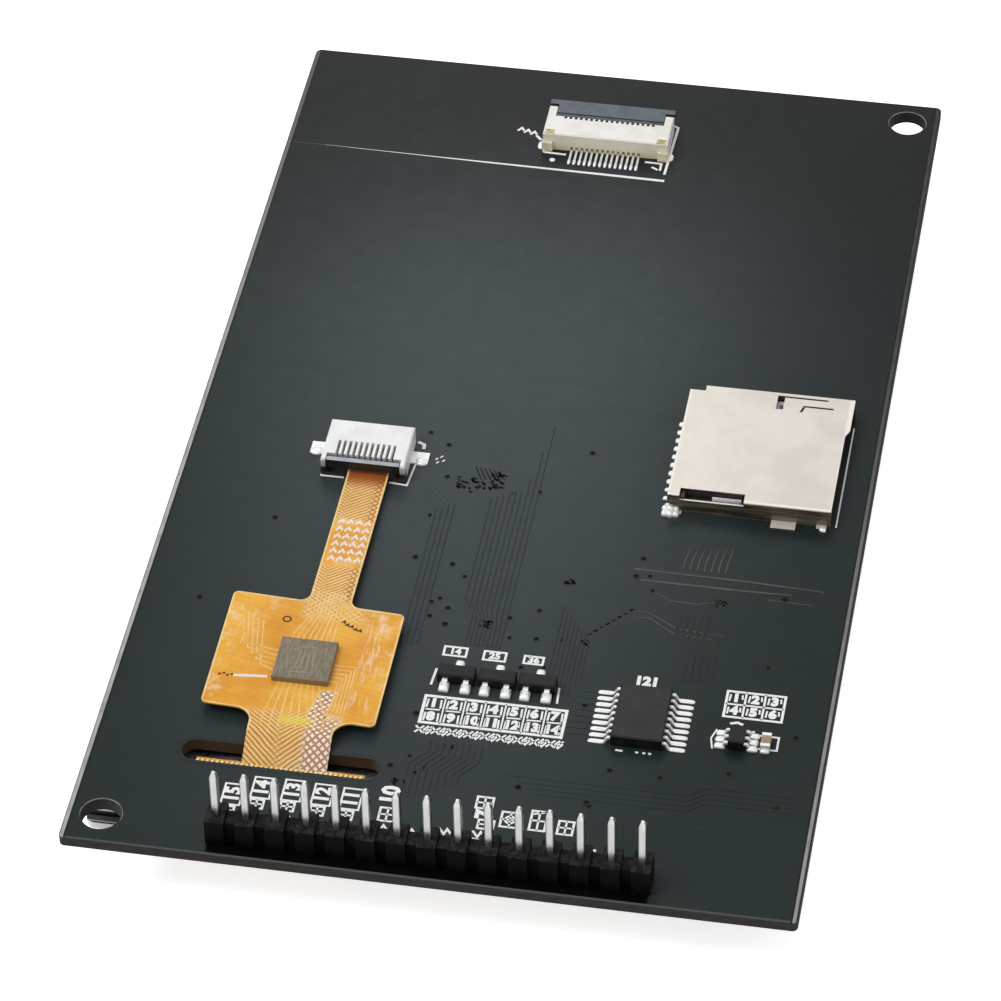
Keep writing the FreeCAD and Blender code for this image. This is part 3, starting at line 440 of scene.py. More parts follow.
def pin_metal():
    """Bright tinned pins, drawn lengthwise, with painted shade on their corners and sides."""
    s = Shade("pin_tin", metallic=1.0)
    drawn = (1.0, 1.0, 0.2)
    aside = s.value("PINGPONG", s.axes()[0], pin_pitch / 2)
    lengthwise = s.patches(3.0, stretch=drawn)
    face = s.mix(lengthwise, (0.84, 0.84, 0.85), grey(0.96))
    # Painted shade: each pin's corners and sides are painted dark.
    s.paint(s.mix(s.steps(aside, 0.3, 0.2), (0.17, 0.17, 0.175), face))
    s.roughen(0.22, 0.36, 3.0, drawn)
    s.bump(lengthwise, 0.12, 0.02)
    return s.material


def chip_face():
    """The touch controller's package: mid grey with a faint etched texture."""
    s = Shade("chip_face", roughness=0.46)
    top = s.two_tone((0.138, 0.112, 0.074), (0.265, 0.218, 0.145), 2.0, 4.0, 0.7, (3.0, 0.7, 1.0), 0.35, 0.7)
    s.lid(top, (0.22, 0.155, 0.085))
    s.roughen(0.4, 0.55, 2.0)
    s.grain(8.0, 0.25, 0.02, 4.0, 0.7)
    return s.material


def cover_face():
    """Cover glass seen from its face: black print round a dark, faintly lined picture area; painted light on
    its corner edge.
    """
    s = Shade("cover_face", level=0.3)
    window = s.inside(-28.2, 28.2, -40.6, 43.8, 0.08)
    cells = s.times(s.stripes(0.0, 1.0, 0.3, 0.6), s.stripes(1.0, 0.0, 0.1, 0.6))
    picture = s.mix(cells, (0.018, 0.021, 0.028), (0.03, 0.035, 0.047))
    mesh_rim = s.value("SUBTRACT", s.inside(-28.7, 28.7, -41.1, 44.3, 0.05), window)
    face = s.mix(window, (0.0025, 0.0025, 0.003), picture)
    face = s.mix(s.times(mesh_rim, 0.6), face, (0.045, 0.048, 0.05))
    edge = s.two_tone((0.06, 0.11, 0.095), (0.1, 0.17, 0.15), 0.6, 3.0, 0.5)
    # Painted light: the edge is painted white at the corner seen through the screw hole.
    edge = s.mix(s.inside(*painted_light_corner, 0.3), edge, (0.93, 0.94, 0.94))
    s.paint(s.mix(s.steps(s.value("ABSOLUTE", s.facing()), 0.8, 0.5), face, edge))
    s.drive("Roughness", s.steps(s.noise(0.25), 0.45, 0.75, 0.035, 0.09))
    return s.material


def glass_edge():
    """Glass layers inside the stack: grey-green and glossy, with painted shade at the corner seen through the
    screw hole.
    """
    s = Shade("glass_layer", roughness=0.12, coat=0.3)
    edge = s.two_tone((0.045, 0.075, 0.07), (0.08, 0.12, 0.11), 0.5, 3.0, 0.55)
    # Painted shade: the corner seen through the screw hole is painted near black.
    s.paint(s.mix(s.inside(*painted_light_corner, 0.3), edge, (0.006, 0.007, 0.007)))
    s.roughen(0.08, 0.18, 0.8)
    s.grain(1.5, 0.08, 0.02, rough=0.5)
    return s.material


def ink(name, color, other):
    """Printed ink: slightly chalky, uneven at its edges."""
    s = Shade(name, roughness=0.6, level=0.3)
    s.vary(color, other, 3.5, 4.0)
    s.grain(9.0, 0.3, 0.01)
    return s.material


def molten_metal(name, color, other, roughness, metallic):
    """Solder and dull tin: bright, lumpy, with small frosted patches."""
    s = Shade(name, metallic=metallic, roughness=roughness)
    s.vary(color, other, 2.5, 4.0)
    s.roughen(roughness * 0.6, roughness * 1.5, 4.0)
    s.grain(3.5, 0.35, 0.05, 4.0)
    return s.material


def dress(material, *names):
    """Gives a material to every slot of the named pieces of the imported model."""
    for name in names:
        for entry in nodes[name].material_slots:
            entry.material = material


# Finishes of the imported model
board_mask = solder_mask()
brown_moulding = package_plastic("package_plastic", (0.018, 0.0155, 0.016), (0.027, 0.0235, 0.0235))
black_moulding = package_plastic("small_package_plastic", (0.006, 0.0054, 0.0056), (0.014, 0.012, 0.012))
lead_tin = molten_metal("lead_tin", grey(0.86), grey(0.94), 0.42, 0.5)
solder_bright = molten_metal("solder_bright", grey(0.88), grey(0.96), 0.36, 0.5)
gold = brushed_metal("gold_contact", (0.83, 0.6, 0.24), (0.93, 0.74, 0.38), 0.24, (1.0, 0.3, 1.0))
cream = connector_moulding("cream_moulding", (0.8, 0.775, 0.72), (0.875, 0.86, 0.82),
                           (0.87, 0.83, 0.7), (0.74, 0.65, 0.4), 1.3)
white = connector_moulding("white_moulding", grey(0.8), (0.88, 0.88, 0.885),
                           grey(0.6), (0.012, 0.011, 0.01), 1.9, sill=-6.2)
touch_lever = latch_plastic("touch_latch_plastic", (0.3, 0.34, 0.39), (0.42, 0.46, 0.5), (0.01, 0.01, 0.011))
spare_lever = latch_plastic("spare_latch_plastic", (0.062, 0.08, 0.1), (0.095, 0.118, 0.138),
                            (0.02, 0.02, 0.024))
spring_wire = brushed_metal("spring_wire", (0.55, 0.55, 0.56), grey(0.7), 0.25, (1.0, 1.0, 1.0))
shell = card_steel()

dress(board_mask, "circuit_board")
dress(cover_face(), "cover_glass")
dress(glass_edge(), "touch_sensor_glass", "color_filter_glass", "array_glass")
dress(plain_finish("optical_film", (0.55, 0.56, 0.57), (0.66, 0.67, 0.68), 0.22, 0.6, 0.1, 0.02),
      "upper_prism_film", "lower_prism_film", "diffuser_film", "reflector_film", "light_guide",
      "optical_adhesive")
dress(plain_finish("polarizer_film", (0.02, 0.02, 0.026), (0.034, 0.034, 0.042), 0.2),
      "front_polarizer", "rear_polarizer")
dress(plain_finish("foam_tape", (0.62, 0.62, 0.6), (0.74, 0.74, 0.72), 0.85, 2.0, 0.6, 0.08, 4.0),
      "mounting_tape")
dress(plain_finish("gasket_foam", grey(0.012), grey(0.026), 0.85, 2.0, 0.6, 0.06, 5.0), "gasket_tape")
dress(plain_finish("frame_plastic", (0.76, 0.76, 0.75), (0.84, 0.84, 0.83), 0.45), "backlight_frame")
dress(brushed_metal("shield_steel", grey(0.5), (0.62, 0.62, 0.61), 0.3, (0.15, 1.0, 1.0)), "rear_shield")
dress(flex_film(), "touch_flex", "display_flex")
dress(plain_finish("bare_silicon", (0.09, 0.09, 0.1), (0.15, 0.15, 0.17), 0.15), "driver_chip")
dress(plain_finish("strip_film", (0.66, 0.62, 0.5), (0.76, 0.72, 0.6), 0.4), "led_strip")
dress(plain_finish("lamp_resin", (0.85, 0.74, 0.3), (0.92, 0.84, 0.45), 0.3), "backlight_leds")
dress(chip_face(), "touch_chip")
dress(header_plastic(), "header_block")
dress(pin_metal(), "header_pins")
dress(lead_tin, "level_shifter_leads", "transistor_leads", "regulator_leads", "spare_connector_contacts",
      "touch_connector_solder_tabs", "capacitor_ends", "card_detect_contacts", "card_contacts")
dress(plain_finish("gilt_tab", (0.66, 0.57, 0.36), (0.84, 0.78, 0.6), 0.36, 1.5),
      "spare_connector_solder_tabs")
dress(solder_bright, "header_solder", "card_solder")
dress(white, "touch_connector_housing")
dress(cream, "spare_connector_housing")
dress(touch_lever, "touch_connector_latch")
dress(spare_lever, "spare_connector_latch")
dress(plain_finish("shaded_contact", (0.03, 0.026, 0.02), (0.075, 0.062, 0.045), 0.4),
      "touch_connector_contacts")
dress(shell, "card_shell")
dress(plain_finish("socket_plastic", (0.012, 0.01, 0.009), (0.026, 0.022, 0.018), 0.5), "card_base")
dress(plain_finish("slider_plastic", (0.55, 0.54, 0.5), (0.66, 0.65, 0.6), 0.45), "card_slider")
dress(spring_wire, "card_spring", "card_cam_pin")
dress(brown_moulding, "level_shifter_body")
dress(black_moulding, "transistor_bodies", "regulator_body")
dress(plain_finish("capacitor_ceramic", (0.3, 0.2, 0.12), (0.42, 0.3, 0.19), 0.5), "capacitor_body")

# Finishes of the fine details
white_ink = ink("white_ink", (0.83, 0.84, 0.84), grey(0.93))
dark_ink = ink("dark_ink", (0.035, 0.018, 0.01), (0.06, 0.03, 0.015))
pale_ink = ink("pale_ink", (0.8, 0.7, 0.62), (0.88, 0.8, 0.74))
etched = ink("etched_mark", (0.27, 0.245, 0.2), (0.34, 0.31, 0.26))
brass = plain_finish("dull_brass", (0.3, 0.215, 0.075), (0.62, 0.5, 0.22), 0.35, 2.5)
pale_film = plain_finish("clear_film_edge", (0.8, 0.52, 0.17), (0.88, 0.64, 0.28), 0.3)
copper_film = plain_finish("film_over_copper", (0.78, 0.46, 0.13), (0.86, 0.58, 0.24), 0.32)
# Painted highlight for the far rims of the screw holes.
hole_rim_highlight = plain_finish("hole_rim_highlight", (0.085, 0.088, 0.088), (0.19, 0.195, 0.19), 0.5, 1.2)
mask_pale = plain_finish("mask_on_copper", (0.066, 0.072, 0.072), (0.092, 0.098, 0.098), 0.4, 0.5, 0.1, 0.02,
                         level=mask_level)
# Painted shadow for the dark lines beside the copper runs.
run_shadow_dark = plain_finish("mask_painted_shadow", (0.011, 0.0135, 0.014), (0.017, 0.0205, 0.021), 0.42, 0.3, 0.1, 0.02,
                        level=mask_level)
pit_dark = plain_finish("via_hole", grey(0.002), grey(0.004), 0.6, level=0.1)


class Build:
    """Collects faces in millimetres into one piece; flat shapes lie between its low and high."""

    def __init__(self, low=print_low, high=print_high):
        self.low = low
        self.high = high
        self.points = []
        self.faces = []

    def add(self, points, faces):
        base = len(self.points)
        self.points += [tuple(p) for p in points]
        self.faces += [tuple(base + i for i in face) for face in faces]

    def prism(self, outline, low, high):
        """An upright block over a plan outline that runs anticlockwise."""
        n = len(outline)
        points = [(x, y, low) for x, y in outline] + [(x, y, high) for x, y in outline]
        faces = [tuple(range(n - 1, -1, -1)), tuple(range(n, 2 * n))]
        faces += [(i, (i + 1) % n, n + (i + 1) % n, n + i) for i in range(n)]
        self.add(points, faces)

    def stroke(self, route, width, closed=False, low=None, high=None):
        """A flat raised line along a route; width and heights are numbers, or lists for its points."""
        pts = [Vector(p) for p in route]
        n = len(pts)
        given = (width, self.low if low is None else low, self.high if high is None else high)
        widths, lows, highs = (item if isinstance(item, list) else [item] * n for item in given)
        rings = []
        for i, p in enumerate(pts):
            before = pts[i - 1] if i or closed else p
            after = pts[(i + 1) % n] if i < n - 1 or closed else p
            sides = [d.normalized() for d in (p - before, after - p) if d.length > 1e-9]
            normals = [Vector((-d.y, d.x)) for d in sides]
            mitre = sum(normals, Vector((0, 0))).normalized()
            reach = widths[i] / 2 / max(0.4, mitre.dot(normals[0]))
            a, b = p + mitre * reach, p - mitre * reach
            rings += [(a.x, a.y, lows[i]), (b.x, b.y, lows[i]), (b.x, b.y, highs[i]), (a.x, a.y, highs[i])]
        faces = []
        for i in range(n if closed else n - 1):
            s, e = 4 * i, 4 * ((i + 1) % n)
            faces += [(s + k, e + k, e + (k + 1) % 4, s + (k + 1) % 4) for k in range(4)]
        if not closed:
            faces += [(0, 1, 2, 3), tuple(4 * (n - 1) + k for k in (3, 2, 1, 0))]
        self.add(rings, faces)

    def strokes(self, width, *routes):
        for route in routes:
            self.stroke(route, width)

    def box(self, x0, y0, x1, y1, width):
        """A closed rectangular line."""
        self.stroke([(x0, y0), (x1, y0), (x1, y1), (x0, y1)], width, closed=True)

    def lump(self, x, y, rx, ry, height, power=2.6, low=None):
        """A low dome on a rounded rectangular foot, as solder makes it."""
        low = self.low if low is None else low
        sides = 16
        rings = ((1.0, 0.0), (0.97, 0.45), (0.82, 0.82), (0.48, 0.98))
        points = []
        for share, rise in rings:
            for i in range(sides):
                angle = 2 * math.pi * i / sides
                c, s = math.cos(angle), math.sin(angle)
                cx = math.copysign(abs(c) ** (2 / power), c) * rx * share
                cy = math.copysign(abs(s) ** (2 / power), s) * ry * share
                points.append((x + cx, y + cy, low + height * rise))
        points.append((x, y, low + height))
        faces = [tuple(range(sides - 1, -1, -1))]
        for level in range(len(rings)):
            for i in range(sides):
                a, c = level * sides + i, level * sides + (i + 1) % sides
                above = (c + sides, a + sides) if level < len(rings) - 1 else (len(points) - 1,)
                faces.append((a, c, *above))
        self.add(points, faces)

    def circle(self, x, y, radius, sides=16):
        turns = [2 * math.pi * i / sides for i in range(sides)]
        return [(x + radius * math.cos(t), y + radius * math.sin(t)) for t in turns]

    def disc(self, x, y, radius, high=None):
        self.prism(self.circle(x, y, radius), self.low, self.high if high is None else high)

    def ring(self, x, y, radius, width):
        self.stroke(self.circle(x, y, radius), width, closed=True)

    def digits(self, text, x, y, size, weight, turn=0):
        """Raised numbers; x and y are the middle of the text."""
        curve = bpy.data.curves.new("digits", "FONT")
        curve.body = text
        curve.size = size
        curve.align_x = "CENTER"
        curve.align_y = "CENTER"
        curve.resolution_u = 2
        curve.offset = weight
        curve.extrude = (self.high - self.low) / 2
        holder = bpy.data.objects.new("digits", curve)
        mesh = bpy.data.meshes.new_from_object(holder)
        middle = (self.low + self.high) / 2
        c, s = math.cos(math.radians(turn)), math.sin(math.radians(turn))
        spots = [vertex.co for vertex in mesh.vertices]
        self.add([(x + p.x * c - p.y * s, y + p.x * s + p.y * c, middle + p.z) for p in spots],
                 [tuple(p.vertices) for p in mesh.polygons])
        bpy.data.objects.remove(holder)
        bpy.data.curves.remove(curve)
        bpy.data.meshes.remove(mesh)

    def mesh_object(self, name, material, smooth=False):
        """The collected faces as an object with one material."""
        mesh = bpy.data.meshes.new(name)
        mesh.from_pydata([Vector(p) * MM for p in self.points], [], self.faces)
        mesh.materials.append(material)
        mesh.update()
        for polygon in mesh.polygons:
            polygon.use_smooth = smooth
        obj = bpy.data.objects.new(name, mesh)
        bpy.context.scene.collection.objects.link(obj)
        return obj

    def piece(self, name, material, smooth=False, body="root"):
        """The finished piece, riding on its body."""
        obj = self.mesh_object(name, material, smooth)
        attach(obj, body)
        return obj


def silkscreen():
    """White printed lines, frames and marks on the board, and a painted highlight line beside the card
    socket.
    """
    b = Build()
    b.stroke([(-27.0, 39.23), (-22.0, 39.15), (-17.1, 39.06), (-11.2, 38.96), (0.0, 38.82), (6.0, 38.72)],
             [0.01, 0.04, 0.08, 0.18, 0.28, 0.3])
    b.strokes(0.24, [(5.68, 47.2), (6.15, 46.95), (5.86, 39.7)], [(-6.1, 41.35), (-3.9, 41.25)])
    b.disc(-5.07, 40.28, 0.27)
    b.strokes(0.2, [(-6.1, 41.35), (-6.05, 42.1)])
    b.strokes(0.22, [(3.75, 41.3), (5.35, 41.25), (5.35, 40.2)], [(4.5, 40.62), (4.95, 40.4), (5.1, 40.25)])
    for x, y in ((-9.1, 44.2), (-8.45, 44.0), (-7.8, 43.8)):
        b.stroke([(x, y), (x + 0.35, y + 0.5), (x + 0.62, y + 0.1)], 0.22)
    b.strokes(0.26, [(-7.2, 43.75), (-6.6, 43.1)])
    b.strokes(0.17, [(-18.15, -5.3), (-18.05, -7.15), (-16.0, -7.15)],
              [(-11.9, -7.15), (-10.25, -7.3), (-9.95, -3.9)])
    b.strokes(0.3, [(-10.3, -1.45), (-9.7, -1.75), (-9.65, -2.3)])
    # Painted highlight: a thin pale line along the card socket's right side.
    b.strokes(0.14, [(28.12, 6.4), (28.12, -6.85)])
    for x, y in ((-8.35, -3.55), (-7.95, -3.2), (-8.2, -4.0), (-7.7, -3.7)):
        b.stroke([(x, y), (x + 0.2, y + 0.25)], 0.12)
    b.piece("silkscreen_lines", white_ink)


def silkscreen_tables():
    """Printed tables and numbered boxes beside the small parts."""
    b = Build()
    for number, (x0, x1, y0, y1) in enumerate(((-3.16, -1.22, -27.95, -26.9), (0.31, 2.19, -28.0, -26.95),
                                               (3.81, 5.45, -27.9, -27.0)), 1):
        b.box(x0, y0, x1, y1, 0.2)
        b.digits("%d%d" % (number, number + 3), (x0 + x1) / 2, (y0 + y1) / 2, 1.0, 0.05)
    left, right, top, low = -3.7, 8.45, -33.05, -36.25
    b.box(left, low, right, top, 0.27)
    cells = 7
    step = (right - left) / cells
    middle = (top + low) / 2
    for i in range(cells):
        x = left + step * i
        if i:
            b.stroke([(x, low), (x, top)], 0.14)
        centre = x + step / 2
        for row, shift in ((top - 0.82, 0), (low + 0.78, cells)):
            b.digits("%d" % (i + 1 + shift), centre - 0.06, row, 1.35, 0.09)
            for side in (-1, 1):
                b.stroke([(centre + side * 0.6, row - 0.55), (centre + side * 0.56, row + 0.45)], 0.17)
        b.stroke([(x + 0.25, middle), (x + step - 0.25, middle + 0.05)], 0.16)
    links = 18
    link = (8.75 + 3.9) / links
    for i in range(links):
        x = -3.9 + link * i
        half = x + link / 2
        b.stroke([(x, -37.5), (x + link, -36.68)], 0.17)
        if i % 2:
            diamond = [(x + 0.05, -37.1), (half, -36.7), (x + link - 0.05, -37.1), (half, -37.55)]
            b.stroke(diamond, 0.16, closed=True)
        else:
            b.stroke([(x, -36.7), (x + link, -37.5)], 0.17)
    b.strokes(0.22, [(-3.4, -29.7), (-3.55, -31.7)])
    b.strokes(0.18, [(7.35, -30.4), (7.45, -32.3)])
    b.digits("121", 14.6, -28.5, 1.4, 0.09)
    for x, length in ((13.2, 0.62), (14.9, 0.25), (15.5, 0.25), (16.0, 0.25)):
        b.stroke([(x, -36.95), (x + length, -36.98)], 0.2)
    b.piece("silkscreen_tables", white_ink)


def silkscreen_right():
    """Printed block by the regulator."""
    b = Build()
    x0, x1, y0, y1 = 21.6, 26.55, -31.55, -28.5
    middle = (y0 + y1) / 2
    b.box(x0, y0, x1, y1, 0.22)
    b.strokes(0.18, [(x0, middle), (x1, middle)], *([(x, y0), (x, y1)] for x in (23.2, 24.85)))
    for i, x in enumerate((22.4, 24.05, 25.7)):
        for row, shift in ((middle + 0.76, 1), (middle - 0.76, 4)):
            b.digits("%d" % (i + shift), x, row, 1.3, 0.09)
            b.strokes(0.16, [(x - 0.55, row - 0.4), (x - 0.5, row + 0.4)],
                      [(x + 0.5, row + 0.42), (x + 0.55, row - 0.1)])
    b.box(24.75, -34.95, 26.6, -33.4, 0.18)
    b.strokes(0.26, [(22.3, -32.35), (22.9, -32.15), (23.4, -32.35)])
    b.strokes(0.14, [(21.3, -33.2), (20.95, -34.3), (21.2, -35.5)])
    b.strokes(0.2, [(24.0, -33.2), (24.5, -33.0)])
    b.piece("silkscreen_block", white_ink)


def header_labels():
    """Pin numbers, frames and short strokes printed behind the header."""
    b = Build()

    def cluster(x, y):
        b.strokes(0.2, [(x - 0.6, y + 0.35), (x - 0.1, y - 0.3), (x + 0.1, y + 0.3), (x + 0.6, y - 0.35)],
                  [(x - 0.5, y - 0.5), (x + 0.1, y - 0.6)])

    def window(x, y, wide, tall):
        left, right, low, top = x - wide / 2, x + wide / 2, y - tall / 2, y + tall / 2
        b.box(left, low, right, top, 0.2)
        b.strokes(0.17, [(left, y), (right, y)], [(x, low), (x, top)])

    for number, x, y in ((15, -17.6, -47.3), (14, -15.3, -46.2), (13, -12.7, -46.1), (12, -10.15, -46.2),
                         (11, -7.7, -46.3)):
        b.digits("%d" % number, x + 0.1, y + 0.25, 1.75, 0.07, 90)
        b.box(x - 0.72, y - 0.95, x + 0.88, y + 1.42, 0.17)
        window(x - 0.05, y - 1.65, 1.15, 1.0)
        cluster(x - 0.2, y - 2.5)
    b.digits("10", -4.45, -45.1, 2.1, 0.09, 90)
    b.digits("7", 3.7, -46.1, 2.0, 0.09, 90)
    for place in ((-4.35, -47.35, 1.3, 1.5), (3.45, -44.75, 1.35, 1.3), (3.95, -47.2, 1.3, 1.0),
                  (5.85, -46.35, 1.5, 1.7), (8.2, -46.1, 1.3, 2.2), (10.55, -46.55, 1.25, 1.5)):
        window(*place)
    for x, y in ((-4.5, -48.9), (-2.1, -49.0), (0.8, -48.5), (3.6, -48.4)):
        cluster(x, y)
    b.ring(5.85, -46.35, 0.4, 0.2)
    b.strokes(0.2, [(7.6, -45.4), (8.8, -45.0)])
    b.strokes(0.26, [(12.5, -48.45), (13.0, -48.7), (13.45, -48.7)])
    b.piece("header_numbers", white_ink)


def slot_outline(rim):
    """The plan of the flex slot, this much larger all round."""
    left, right, low, back = -22.9 - rim, -5.9 + rim, -43.6 - rim, -41.2 + rim
    radius = (back - low) / 2
    points = []
    for centre, start in ((right - radius, -90), (left + radius, 90)):
        for i in range(9):
            turn = math.radians(start + 22.5 * i)
            points.append((centre + radius * math.cos(turn), (low + back) / 2 + radius * math.sin(turn)))
    return points


def traces():
    """Copper runs that show faintly through the mask, most with a painted shadow line beside them."""
    b = Build(high=copper_high)
    run_shadow_lines = Build(high=board_top + copper_rise * 0.6)
    pale = Build(high=copper_high)

    def run(route, width=0.22):
        b.stroke(route, width)
        # Painted shadow: a dark line beside each run.
        run_shadow_lines.stroke([(x + 0.19, y - 0.09) for x, y in route], 0.07)

    for i in range(9):
        x = -2.65 + 0.5 * i
        jog = 0.95 - 0.12 * i
        bend = -22.4 - 0.25 * i
        far = -7.6 + 0.25 * i if i < 6 else -4.6 + 3.6 * (i - 6)
        run([(x + jog, -26.4), (x + jog, bend), (x, bend + 1.5), (x, far)], 0.2)
        x = -3.8 + 0.55 * i
        run([(x, -45.4 + 0.3 * i), (x, -41.2 - 0.1 * i), (x + 1.4, -39.4 - 0.1 * i), (x + 1.4, -38.2)], 0.2)
    for i in range(4):
        x = -7.25 + 0.5 * i
        run([(-8.9 + 0.15 * i, -7.6 + 0.4 * i), (x, -9.8 + 0.3 * i), (x, -27.6 + 0.2 * i)])
    for i in range(8):
        y = -30.4 - shifter_pitch * i
        x = 8.8 - 0.4 * i
        run([(10.5, y), (9.6 - 0.15 * i, y), (x, y + 1.0), (x, -24.0 + 0.5 * i)], 0.18)
    for i in range(5):
        x = 16.2 + 0.6 * i
        run([(x + 1.3, -27.8), (x + 1.3, -24.4), (x, -22.6), (x, -19.6)], 0.18)
    thin_ends = [0.05, 0.1, 0.1, 0.05]
    for route, widths in (([(11.4, -14.8), (21.5, -14.9), (28.2, -15.2)], [0.2, 0.2, 0.07]),
                          ([(12.2, -16.1), (22.0, -16.1), (25.5, -16.0)], [0.2, 0.2, 0.07]),
                          ([(-30.2, 39.2), (-26.0, 39.25), (-23.0, 39.19)], [0.06, 0.12, 0.04]),
                          ([(23.4, -16.9), (27.4, -17.0)], [0.12, 0.06]),
                          ([(13.6, -17.5), (15.2, -18.3), (17.4, -18.4), (19.4, -17.8)], thin_ends),
                          ([(11.9, -20.2), (13.4, -20.0), (16.2, -21.7), (20.4, -22.0)], thin_ends),
                          ([(12.3, -20.8), (13.6, -20.7), (15.9, -22.3), (19.6, -22.6)], thin_ends)):
        pale.stroke(route, widths)
    for i in range(7):
        x = 15.6 + 0.62 * i
        pale.stroke([(x, -14.2), (x + 0.05, -12.9), (x + 0.3, -11.6 + 0.1 * i)], [0.11, 0.11, 0.04])
    for i in range(4):
        y = -41.2 - 0.6 * i
        run([(4.5 + i, y), (20.0, y), (21.4, y + 1.1), (28.8, y + 1.1)], 0.24)
    b.stroke(slot_outline(0.32), 0.14, closed=True)
    run_shadow_lines.piece("trace_shadow_lines", run_shadow_dark)
    pale.piece("pale_traces", mask_pale)
    b.piece("board_traces", board_mask)


def vias():
    """Small plated holes under the mask, scattered along the copper runs, and dark specks beside them."""
    rings = Build(high=board_top + copper_rise * 1.2)
    pits = Build(high=board_top + copper_rise * 1.1)
    pit_floor = board_top + 0.006
    spots = [(11.7, -15.7), (12.9, -15.5), (13.4, -17.3), (2.1, -25.0), (4.4, -24.8), (6.5, -24.6),
             (8.4, -24.4), (1.7, -22.6), (4.1, -21.3), (-7.5, -10.8), (-7.8, -16.3), (-4.4, -16.7),
             (-4.7, -21.1), (-3.8, -22.2), (-5.2, -23.4), (-3.7, -24.2), (12.0, -13.4), (19.2, -17.9),
             (24.9, -16.6), (-1.2, -38.6), (-3.0, -42.2), (-2.2, -41.5), (17.4, -39.6), (13.1, -39.4),
             (24.6, -25.2), (28.0, -33.2), (-21.0, -13.2), (-25.4, -24.2), (11.8, -43.4), (23.0, -38.2),
             (27.5, -41.4), (-6.9, -5.6), (-7.5, -1.4), (-9.4, 0.0)]
    for i in range(16):
        spots.append((random.uniform(-6.5, 12.5), random.uniform(-46.0, 2.0)))
    for x, y in spots:
        size = random.uniform(0.2, 0.3)
        rings.ring(x, y, size + 0.03, 0.1)
        pits.disc(x, y, size, pit_floor)
    for cluster_x, cluster_y, spread, tall, count in (
            (-5.2, -6.3, 0.8, 1.0, 22), (-3.6, -6.2, 1.0, 0.45, 16), (-2.5, -5.3, 0.55, 1.1, 24),
            (6.2, -17.2, 0.6, 0.3, 10), (-0.3, -23.5, 0.5, 0.45, 14), (8.3, -24.2, 0.35, 0.45, 8),
            (19.3, -17.9, 0.45, 0.35, 8), (-4.3, -43.4, 0.6, 0.4, 8)):
        for i in range(count):
            x = cluster_x + random.uniform(-spread, spread)
            y = cluster_y + random.uniform(-tall, tall)
            pits.stroke([(x, y), (x + random.uniform(0.1, 0.4), y - random.uniform(0.05, 0.3))],
                        random.uniform(0.12, 0.24))
    for i in range(6):
        x = -4.6 + 0.42 * i
        pits.stroke([(x, -3.9 - 0.05 * i), (x + 0.75, -5.5 + 0.05 * i)], 0.09)
    for i in range(8):
        share = i / 7
        x, y = 8.7 + 3.1 * share, -23.6 + 3.5 * share
        pits.stroke([(x, y), (x + 0.3, y + 0.24)], 0.1 + 0.12 * (i % 2))
    pits.piece("via_pits", pit_dark)
    rings.piece("via_rings", board_mask)


def solder_joints():
    """Solder under and round the feet of the leads."""
    b = Build()
    for side in (-1, 1):
        for i in range(9):
            b.lump(shifter_x + side * 3.45, shifter_y + shifter_pitch * (i - 4), 0.72, 0.235, 0.16, 4.0)
    for k in (-1, 0, 1):
        middle = transistor_x + transistor_pitch * k
        for side in (-1, 1):
            b.lump(middle + side * 0.92, -31.95, 0.46, 0.58, 0.5, 7.0)
        b.lump(middle, -29.18, 0.42, 0.4, 0.55, 4.0)
    for side in (-1, 1):
        for i in (-1, 0, 1):
            b.lump(regulator_x + side * 1.38, regulator_y + regulator_pitch * i, 0.5, 0.3, 0.32, 4.0)
    for side in (-1, 1):
        b.lump(capacitor_x, regulator_y + side * 0.86, 0.42, 0.2, 0.3)
    for i in range(14):
        b.lump(spare_x + flex_pitch * (i - 6.5), 40.25, 0.16, 0.46, 0.2)
    for side in (-1, 1):
        b.lump(touch_x + side * 4.75, -4.1, 0.55, 0.5, 0.28)
        b.lump(spare_x + side * 6.2, 42.2, 0.4, 0.55, 0.3)
    for i in range(10):
        b.lump(card_tail_x, card_tail_y + card_tail_pitch * i, 0.36, 0.3 if i > 1 else 0.24, 0.3)
    b.piece("solder_joints", solder_bright, smooth=True)


def corner_solder():
    """Lumpy solder piles at the card socket's front corner tabs."""
    b = Build(low=board_top - 0.005)
    for x, y, radius, height in (
            (12.98, -7.5, 0.34, 0.45), (13.45, -7.58, 0.33, 0.5), (13.92, -7.45, 0.34, 0.42),
            (12.95, -7.02, 0.32, 0.6), (13.42, -7.12, 0.42, 0.8), (13.86, -6.98, 0.35, 0.62),
            (13.12, -6.62, 0.33, 0.5), (13.66, -6.62, 0.3, 0.45), (27.0, -7.35, 0.32, 0.3),
            (27.12, -7.5, 0.18, 0.2)):
        b.lump(x, y, radius, radius, height, 2.2)
    piles = b.piece("card_solder_piles", solder_bright, smooth=True)
    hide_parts("card_solder")


def socket_corner():
    """The bent corner of the socket's cover beside the open step in its roof."""
    b = Build()
    low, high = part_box("card_shell")
    left, top = low.x / MM, high.z / MM
    front = low.y / MM + 1.0
    right = left + 1.05
    for near, far, drop, lowered in ((0.06, 1.06, 0.18, 0.002), (0.01, 0.17, 0.85, 0.02)):
        b.prism([(left, front + near), (right, front + near), (right, front + far), (left, front + far)],
                top - drop, top - lowered)
    b.piece("card_shell_corner", shell)


